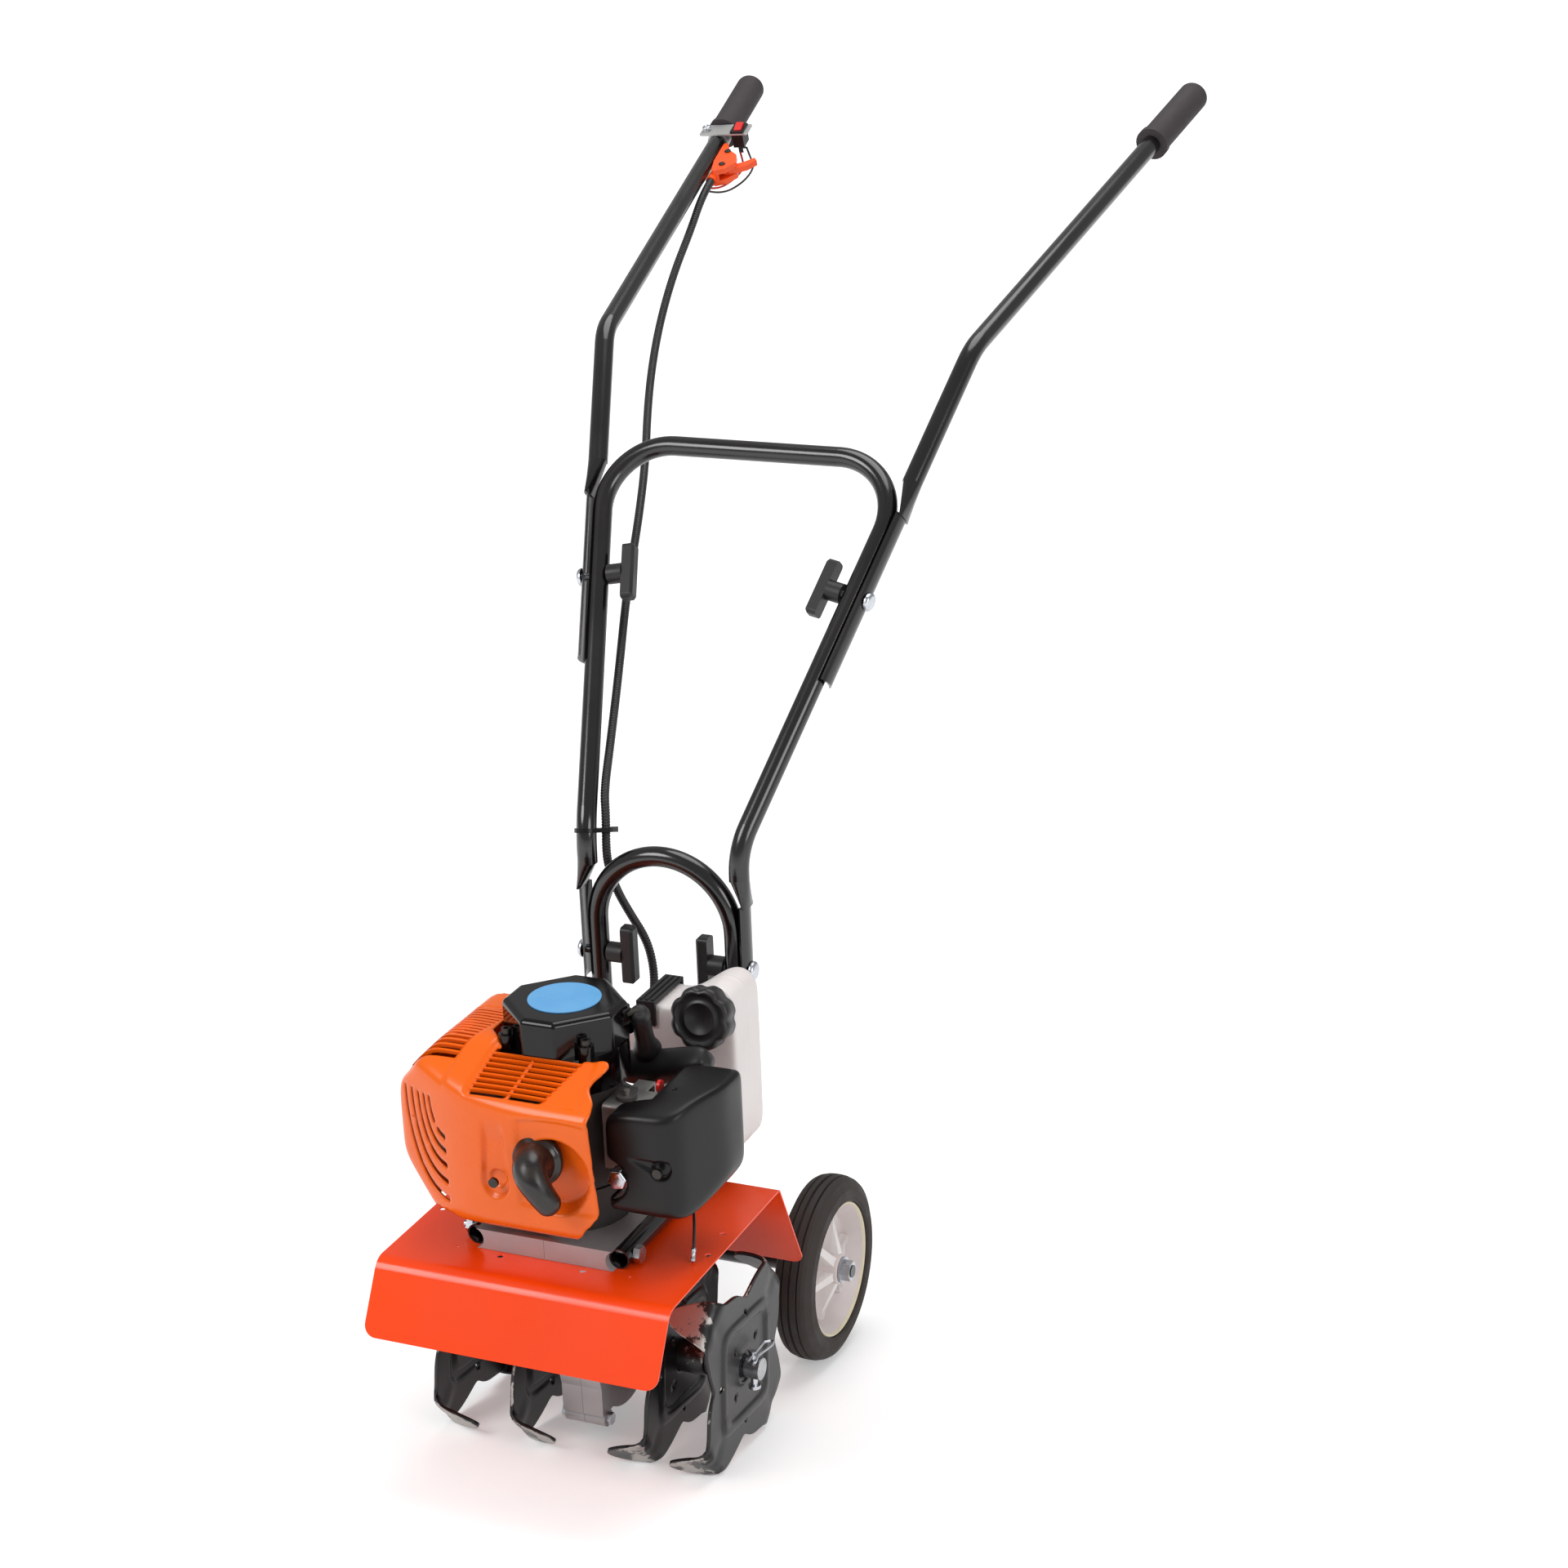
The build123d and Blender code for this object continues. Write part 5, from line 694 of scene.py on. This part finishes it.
def fuel_tank():
    """The tank's closed body."""
    turn, dip = np.radians(np.arange(0, 360, 1.5)), np.radians(np.r_[1.0, np.arange(2, 179, 1.6), 179.0])
    dip, turn = np.meshgrid(dip, turn, indexing="ij")
    p = row(tank_points(turn, dip))
    faces = [f[::-1] for f in grid_faces(*p.shape[:2], True, True)]
    obj = mesh_object("tank_body", p.reshape(-1, 3), faces, tank_hdpe)
    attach(obj, "chassis")
    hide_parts("fuel_tank")


# Tank cap: a knob with eight soft scallops, a rim round its sunk face and a raised ring; its foot is in m
CAP_FOOT, CAP_WAY = (0.082, -0.311359, 0.390994), (0, -0.9932, 0.1167)
CAP_PROFILE = [(4, 21.6), (4, 27.4), (4.8, 28.4), (19, 29.2), (22, 28.6), (23.6, 27.2), (24.4, 25.2),
               (24.4, 23.4), (23.6, 22.6), (22.8, 22.2), (22.6, 15.4), (23.2, 15.0), (23.2, 13.8),
               (22.6, 13.4), (22.6, 0.05)]
SCALLOPS, SCALLOP_DEPTH, SCALLOP_FROM = 8, 0.085, 23


def cap_scallops(a):
    """Radius factor 1 - d (1/2 - 1/2 cos 8a)^2.2, with d at 0 on the rim's inner side and on the face."""
    wide = np.array(CAP_PROFILE)[:, 1] > SCALLOP_FROM
    return 1 - np.where(wide, SCALLOP_DEPTH, 0)[:, None] * (0.5 - 0.5 * np.cos(SCALLOPS * a)) ** 2.2


def cap_knob():
    """The cap as one turned and scalloped piece."""
    knob = turned("cap_knob", CAP_FOOT, CAP_WAY, CAP_PROFILE, cap_nylon, 144, cap_scallops)
    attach(knob, "tank_cap")
    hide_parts("tank_cap")


# Plug boot: a moulded rubber elbow with a lipped mouth; its line's control points, and radii along the line
ELBOW_LINE = ((16.5, -128, 248), (16, -162, 255), (27, -166, 242), (41, -154, 214))
ELBOW_AT = [0, 0.04, 0.1, 0.13, 0.2, 0.45, 0.7, 0.9]
ELBOW_RADII = [20, 23.2, 23.2, 18.2, 17.2, 14.8, 12.4, 11]


def plug_elbow():
    """A circle carried along a bent line from the bowl outwards and down; its radius falls from the lip to
    the tip."""
    t = np.linspace(0, 1, 46)[:, None]
    a, b, c, d = np.array(ELBOW_LINE, float)
    path = (1 - t) ** 3 * a + 3 * t * (1 - t) ** 2 * b + 3 * t ** 2 * (1 - t) * c + t ** 3 * d
    t = t[:, 0]
    radius = np.interp(t, ELBOW_AT, ELBOW_RADII)
    radius = radius * np.sqrt(np.clip(1 - np.clip((t - 0.9) / 0.1, 0, 0.995) ** 2, 0, 1))
    g = row(tube_grid(path, radius, np.array((0.8, 0.1, 0.6)), 36))
    obj = mesh_object("plug_elbow", g.reshape(-1, 3), grid_faces(len(t), 36, True, True), boot_rubber)
    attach(obj, "chassis")
    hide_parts("plug_boot")


# Pressed steel tines: four-lobed plates whose lobe ends turn in as blades
TINE_OUTLINE = np.array([(-45, 66), (-39, 71), (-32, 76), (-25, 80), (-19, 84), (-15.5, 88), (-13.1, 92),
                         (-9.5, 108.5), (-4, 127), (-1.7, 134), (4, 130), (10.3, 106), (13.1, 95), (17, 91),
                         (24, 82), (32, 73), (39, 67), (43, 65), (45, 66)], float)
TINE_PHASE = np.radians(45 - PITCH_DEG)
# Round holes as distance from the axle, angle in degrees and radius
TINE_HOLES = [(30, 0, 3.4), (52, 45, 3.0)]
# The plates' bore, the blades' bend radius, bend angle and fold line, and the rib's place, width and height
TINE_BORE = 14.5
BEND, BEND_MOST, FOLD = 9.0, np.radians(79), 87.0
RIB_AT, RIB_WIDE, RIB_HIGH = 46, 4.6, 2.6
# For each pair its plates as x and the way their blades turn, and 1 where the hubs point the same way
TINE_PAIRS = (("outer", ((136.0, -1), (-136.0, 1)), 1), ("inner", ((75.0, -1), (-58.0, 1)), -1))
TINE_HUB = [(0, 15), (26, 15), (28, 14), (28, 10.2), (0, 10.2), (0, 15)]


def tine_rim(angle):
    """Plate radius over the angle from a lobe's middle: the outline's points, rounded by a moving mean of
    3.2 degrees."""
    angle = (np.degrees(angle) + 45) % 90 - 45
    shift = np.linspace(-1.6, 1.6, 9)
    around = (angle[..., None] + shift + 45) % 90 - 45
    return np.interp(around, TINE_OUTLINE[:, 0], TINE_OUTLINE[:, 1]).mean(-1)


def tine_gap(p):
    """Distance to the pressed plate's round holes: four near the hub and four beside the rib."""
    angle = np.arctan2(p[..., 1], p[..., 0])
    radius = np.hypot(p[..., 0], p[..., 1])
    gaps = []
    for far, way, hole in TINE_HOLES:
        off = (angle - np.radians(way) + np.pi / 4) % (np.pi / 2) - np.pi / 4
        gaps.append(np.hypot(radius * np.cos(off) - far, radius * np.sin(off)) - hole)
    return np.minimum.reduce(gaps)


def tine_plate(x, inward):
    """Flat plate in polar strips from the hub to the rim, a square rib pressed outwards, a shallow gutter
    along each lobe, and everything past the fold line of its lobe rolled inwards on a 9 mm bend to 79
    degrees; blades curl a little more toward their tips."""
    angle = np.radians(np.arange(0, 360, 1.25))
    share = np.linspace(0, 1, 50) ** 0.9
    share, angle = np.meshgrid(share, angle, indexing="ij")

    def flat(a, t):
        """Plate point at the angle a and the share t of the way from the bore to the rim."""
        far = TINE_BORE + (tine_rim(a) - TINE_BORE) * t
        return np.stack([far * np.cos(a), far * np.sin(a)], -1)

    p, cells = pierced(angle, share, flat, tine_gap)
    a = np.arctan2(p[..., 1], p[..., 0])
    r = np.hypot(p[..., 0], p[..., 1])
    lobe = np.round(a / (np.pi / 2)) * np.pi / 2
    u, v = r * np.sin(a - lobe), r * np.cos(a - lobe)
    past = np.clip(v - FOLD, 0, None)
    roll = np.clip(past / BEND, 0, BEND_MOST)
    rest = np.clip(past - BEND * BEND_MOST, 0, None)
    out = np.minimum(v, FOLD) + BEND * np.sin(roll) + rest * np.cos(BEND_MOST) - 0.0015 * rest ** 2
    deep = BEND * (1 - np.cos(roll)) + rest * np.sin(BEND_MOST)
    q = (np.abs(r * np.cos(a - np.pi / 4)) ** 7 + np.abs(r * np.sin(a - np.pi / 4)) ** 7) ** (1 / 7)
    gutter = 1.2 * step(60, 84, v) * np.exp(-(u / 7) ** 2)
    deep = deep - RIB_HIGH * np.exp(-((q - RIB_AT) / RIB_WIDE) ** 4) + gutter
    along = TINE_PHASE + lobe
    return row(np.stack([x + inward * deep, out * np.cos(along) - u * np.sin(along),
                         out * np.sin(along) + u * np.cos(along)], -1)), cells


def tines():
    """Two pairs of plates, and the hub that stands on each plate."""
    for name, pair, hub_way in TINE_PAIRS:
        plates = [tine_plate(x, inward) for x, inward in pair]
        obj = shell_object(f"tine_plates_{name}", plates, tine_paint, 0.0035, 0)
        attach(obj, "tine_rotor")
        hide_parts(f"tines_{name}")
        for x, inward in pair:
            side = "left" if x > 0 else "right"
            hub = turned(f"tine_hub_{name}_{side}", row((x, 0, 0)), (inward * hub_way, 0, 0), TINE_HUB,
                         tine_paint, caps=False)
            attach(hub, "tine_rotor")


# Cords: the throttle hose in its two runs, and the stop wire; routes in m
def spline_points(route, fine):
    """Points along the NURBS spline that has the route's points as its control points."""
    curve = bpy.data.curves.new("route", "CURVE")
    curve.dimensions = "3D"
    spline = curve.splines.new("NURBS")
    spline.points.add(len(route) - 1)
    spline.points.foreach_set("co", np.c_[np.array(route), np.ones(len(route))].ravel())
    spline.order_u, spline.use_endpoint_u, spline.resolution_u = 3, True, fine
    holder = bpy.data.objects.new("route", curve)
    mesh = bpy.data.meshes.new_from_object(holder)
    p = np.empty(len(mesh.vertices) * 3)
    mesh.vertices.foreach_get("co", p)
    bpy.data.objects.remove(holder)
    bpy.data.meshes.remove(mesh)
    bpy.data.curves.remove(curve)
    return p.reshape(-1, 3)


UPPER_ROUTE = [(-0.2149, 0.3503, 1.0679), (-0.2112, 0.321, 1.0554), (-0.214, 0.2971, 1.0209),
               (-0.219, 0.2648, 0.9787), (-0.213, 0.2187, 0.9343), (-0.198, 0.1663, 0.8933),
               (-0.178, 0.1136, 0.8552), (-0.154, 0.0589, 0.817), (-0.134, 0.0009, 0.7705),
               (-0.115, -0.0661, 0.713), (-0.095, -0.1262, 0.6472), (-0.081, -0.175, 0.5884),
               (-0.071, -0.2081, 0.5552), (-0.0654, -0.2169, 0.5337), (-0.0638, -0.2203, 0.5181)]
LOWER_ROUTE = [(-0.0638, -0.2203, 0.518), (-0.0623, -0.2236, 0.5025), (-0.0615, -0.2202, 0.4858),
               (-0.059, -0.2094, 0.4607), (-0.053, -0.1938, 0.434), (-0.042, -0.1823, 0.407),
               (-0.035, -0.1819, 0.3809), (-0.029, -0.1938, 0.3577), (-0.025, -0.2183, 0.3404),
               (-0.022, -0.2517, 0.3323), (-0.02, -0.2835, 0.3293), (-0.013, -0.3134, 0.3265),
               (0.003, -0.3372, 0.3233), (0.028, -0.3533, 0.3238), (0.052, -0.3691, 0.3314),
               (0.064, -0.3948, 0.3481)]
STOP_ROUTE = [(0.106, -0.3999, 0.2625), (0.112, -0.413, 0.252), (0.12, -0.4277, 0.2376),
              (0.124, -0.4399, 0.2174)]


# Radius between the hose's ribs, height of the ribs and their pitch, in mm
HOSE_ROOT, HOSE_RIB, HOSE_PITCH = 3.55, 0.7, 2.7
# Profile of the stop wire's ferrule in mm, and how much of the wire it covers in m
FERRULE = [(0, 1.4), (0.6, 2.2), (3, 2.3), (3.6, 1.9), (9, 1.9), (9.6, 2.2), (12, 2.2), (12.4, 1.6)]
FERRULE_OVER = 0.008


def run_of(path):
    """Distance along a path at each of its points."""
    return np.r_[0, np.cumsum(np.linalg.norm(np.diff(path, axis=0), axis=1))]


def ribbed_hose(name, route, fine, cad):
    """Tube of radius 3.55 + 0.7 |cos(pi s / 2.7)|^0.6 mm at s mm along its route."""
    path = spline_points(route, fine)
    s = run_of(path) * MM
    wave = np.abs(np.cos(np.pi * s / HOSE_PITCH)) ** 0.6
    radius = (HOSE_ROOT + HOSE_RIB * wave) / MM
    obj = tube(name, path, radius, hose_pe, 14)
    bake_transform(obj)
    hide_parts(cad)


def cords():
    """Both runs of the hose, and the stop wire with its ferrule."""
    ribbed_hose("throttle_hose_upper", UPPER_ROUTE, 120,
                "conduit_upper")
    ribbed_hose("throttle_hose_lower", LOWER_ROUTE, 64, "conduit_lower")
    path = spline_points(STOP_ROUTE, 16)
    wire = tube("stop_lead", path, 0.0013, wire_black, 10)
    end, way = path[-1], unit(path[-1] - path[-2])
    tag = turned("stop_lead_ferrule", end - way * FERRULE_OVER, way, FERRULE, zinc, 20)
    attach(wire, "chassis")
    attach(tag, "chassis")
    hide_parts("stop_wire")


# Right grip: its frame's place in m and its axes, and in that frame the wires from the stop switch to the
# hose's mouth, and screw heads as name, foot, material and radius; their profile is for a radius of 1
HAND = np.array((-0.2389, 0.4268, 1.1071))
HAND_AXES = np.array(((0.9933, 0.10628, 0.04537), (0, 0.3926, -0.91971), (-0.11556, 0.91355, 0.38997)))
SWITCH_WIRES = (
    ("switch_wire_red", wire_red,
     ((22, 12, -4), (25, 21, -8), (33, 20, -32), (29, 18, -64), (20, 15, -88), (14, 8, -98))),
    ("switch_wire_black", wire_black,
     ((27, 12, 5), (30, 23, 3), (42, 23, -22), (39, 23, -58), (25, 20, -90), (15, 10, -102))))
HAND_SCREWS = (("housing_screw_a", (20, -2.8, -36), screw_black, 3.4),
               ("housing_screw_b", (22, -2.8, -66), screw_black, 3.4),
               ("bracket_screw", (-12, -13.6, 0), zinc, 4.6))
PAN_HEAD = np.array([(0, 1), (0.4, 1), (0.62, 0.7), (0.66, 0.35), (0.4, 0.3)])


def on_hand(p):
    """Grip frame in mm (x inward, y down, z along the grip) to the row frame in m."""
    return HAND + np.asarray(p, float) @ HAND_AXES / MM


def switch_wires():
    """The two wires of the stop switch."""
    for name, material, route in SWITCH_WIRES:
        route = on_hand(route)
        path = spline_points(route, 20)
        obj = tube(name, path, 0.0011, material, 10)
        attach(obj, "upper_handle_right")


def hand_screws():
    """Pan heads on the throttle housing and the switch bracket."""
    for name, foot, material, wide in HAND_SCREWS:
        head = turned(name, on_hand(foot), -HAND_AXES[1], wide * PAN_HEAD, material, 30)
        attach(head, "upper_handle_right")


# Starter: the rope comes out of its boss and turns over into the neck of a bowed T handle
ROPE_EXIT, ROPE_OUT = np.array((56, -29, 344.0)), unit(np.array((0.80, 0.10, 0.59)))
ROPE_TURN = ROPE_EXIT + 11.5 * ROPE_OUT
NECK_ROOT, BAR_MID = np.array((46, 24, 283.0)), np.array((62, 25, 271.0))
ROPE_DOWN = unit(NECK_ROOT - ROPE_TURN)
# Legs of the rope's bend and pitch of its strands in mm
ROPE_LEG, ROPE_LAY = 5.2, 9
BAR_AXIS = unit(np.array((0.97, -0.06, 0.23)))
BAR_HALF, BAR_HIGH, BAR_DEEP = 49, 17.0, 14.6
NECK_PROFILE = [(0, 2.6), (0.5, 4.8), (2, 6.6), (5, 8.0), (9, 9.2), (13, 9.4), (16, 8.6), (34, 8.2),
                (54, 8.6), (66, 10), (76, 13)]


def starter_cord():
    """Rope of radius 1.8 (1 + 0.09 |sin(3a/2 + 2 pi s / 9)|) mm, three strands, along a stub and a bend."""
    route = row([ROPE_EXIT - 18 * ROPE_OUT, ROPE_EXIT - 2 * ROPE_OUT, ROPE_TURN - ROPE_LEG * ROPE_OUT,
                 ROPE_TURN + ROPE_LEG * ROPE_DOWN, ROPE_TURN + 10 * ROPE_DOWN])
    path = spline_points(route, 24)
    s = run_of(path) * MM
    around = np.linspace(0, 2 * np.pi, 18, endpoint=False)
    g = tube_grid(path, 0.0018, np.array((0.2, 1, 0.1)), 18)
    twist = 1 + 0.09 * np.abs(np.sin(1.5 * around[None] + 2 * np.pi * s[:, None] / ROPE_LAY))
    g = path[:, None] + (g - path[:, None]) * twist[..., None]
    rope = mesh_object("starter_cord", g.reshape(-1, 3), grid_faces(len(path), 18, True, True), rope_nylon)
    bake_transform(rope)
    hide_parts("starter_rope")


def squared(v):
    """A sine or cosine as sign(v) |v|^0.62, which squares the circle that it draws."""
    return np.sign(v) * np.abs(v) ** 0.62


def starter_grip():
    """A squared bar over t from -1 to 1 that closes as (1 - |t|^7)^(1/3.2) at its ends and bows up by 4 t^2
    mm, and a turned neck from it to the rope."""
    side = unit(np.cross(BAR_AXIS, -ROPE_DOWN))
    up = np.cross(side, BAR_AXIS)
    t, a = np.meshgrid(np.linspace(-1, 1, 61), np.linspace(0, 2 * np.pi, 40, endpoint=False), indexing="ij")
    swell = (1 - np.abs(t) ** 7) ** (1 / 3.2) * (0.92 - 0.06 * t ** 2)
    high, deep = BAR_HIGH * swell * squared(np.cos(a)), BAR_DEEP * swell * squared(np.sin(a))
    bow = 4.0 * t ** 2 + 2.0
    p = (BAR_MID + BAR_AXIS * (BAR_HALF * t + 1.0)[..., None] + up * (high + bow)[..., None]
         + side * deep[..., None])
    grip = mesh_object("starter_grip", row(p).reshape(-1, 3), grid_faces(*t.shape, True, True), knob_nylon)
    neck = turned("starter_neck", row(ROPE_TURN + 4 * ROPE_DOWN), row(NECK_ROOT) - row(ROPE_TURN),
                  NECK_PROFILE, knob_nylon, 36)
    for obj in (grip, neck):
        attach(obj, "starter_handle")
    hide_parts("starter_handle")


# Wheels: the left one's middle in m, profiles of distance outwards and radius in mm, and of the hubs' ribs
# their number, first angle and foot, and radius, half width and top at both ends
WHEEL = np.array((0.124, -0.144752, 0.089))
HUB_PAN = [(18.3, 6.6), (18.3, 13.2), (18.0, 14.0), (17.2, 14.4), (-1.0, 16.0), (-2.4, 16.6), (-3.0, 17.8),
           (-3.2, 21.0), (-3.2, 49.0), (-3.0, 51.4), (-2.2, 52.8), (-0.8, 53.8), (13.6, 61.4), (14.6, 61.9),
           (14.8, 62.6), (14.8, 67.4), (14.0, 68.1), (-16.6, 68.1), (-17.1, 67.2), (-17.1, 64.2),
           (-16.9, 63.4), (-16.2, 62.9), (-9.0, 54.8), (-8.0, 53.8), (-7.2, 52.8), (-6.8, 51.4),
           (-6.8, 21.0), (-7.2, 17.8), (-7.8, 16.8), (-9.2, 16.2), (-17.2, 14.4), (-18.0, 14.0),
           (-18.3, 13.2), (-18.3, 6.6), (18.3, 6.6)]
HUB_LIP = [(14.6, 61.9), (15.6, 62.2), (16.6, 62.8), (17.0, 63.6), (16.8, 64.4), (16.0, 64.9), (14.6, 65.0),
           (14.6, 61.9)]
TYRE_BEAD = [(18.6, 68.7), (19.0, 67.6), (18.8, 66.4), (18.0, 65.6), (17.0, 65.4), (15.2, 65.6),
             (15.2, 68.7), (18.6, 68.7)]
HUB_RIBS, HUB_RIB_TURN, HUB_RIB_FOOT = 6, 0.22, -5.0
HUB_RIB_ENDS, HUB_RIB_HALF, HUB_RIB_TOP = np.array([[13.0, 50.5], [5.6, 3.6], [15.5, 1.0]])


def wheel_hubs():
    """Dished hubs: a pan turned about the axle, and six ribs each way from its middle plane that fall
    outwards from the boss. A rib is a trapezium across, r out along (0, cos a, sin a), and narrows outwards;
    its top sinks from 15.5 to 1 mm off that plane. Its foot is 5 mm past the plane, so beyond r = 40 the
    inner ribs' feet top the outer ribs."""
    turns = HUB_RIB_TURN + np.arange(HUB_RIBS) * 2 * np.pi / HUB_RIBS
    face, turn = (v.reshape(-1, 1, 1) for v in np.meshgrid([1, -1], turns, indexing="ij"))
    wide = face * HUB_RIB_HALF[:, None] * np.array([-1, -0.8, 0.8, 1])
    high = face * np.where(np.array([0, 1, 1, 0]), HUB_RIB_TOP[:, None], HUB_RIB_FOOT)
    faces = sum((grid_faces(2, 4, False, True, first=8 * k) for k in range(2 * HUB_RIBS)), [])
    y = HUB_RIB_ENDS[:, None] * np.cos(turn) - wide * np.sin(turn)
    z = HUB_RIB_ENDS[:, None] * np.sin(turn) + wide * np.cos(turn)
    for name, side in (("left", 1), ("right", -1)):
        mid, out = WHEEL * (side, 1, 1), (side, 0, 0)
        p = mid + np.stack([side * high, y, z], -1) / MM
        ribs = mesh_object(f"hub_ribs_{name}", p.reshape(-1, 3), faces, hub_pp, False)
        # The pan's greyer tone is dust and painted shade of the dish
        pan = turned(f"hub_pan_{name}", mid, out, HUB_PAN, dust_and_shade_pp, 96, caps=False)
        lip = turned(f"hub_lip_{name}", mid, out, HUB_LIP, lip_pp, 96, caps=False)
        bead = turned(f"tyre_bead_{name}", mid, out, TYRE_BEAD, tyre_rubber, 96, caps=False)
        for obj in (pan, ribs, lip, bead):
            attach(obj, f"wheel_{name}")
        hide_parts(f"wheel_{name}")


cords()
switch_wires()
hand_screws()
starter_cord()
starter_grip()
shroud()
filter_cover()
fuel_tank()
cap_knob()
plug_elbow()
wheel_hubs()
tines()
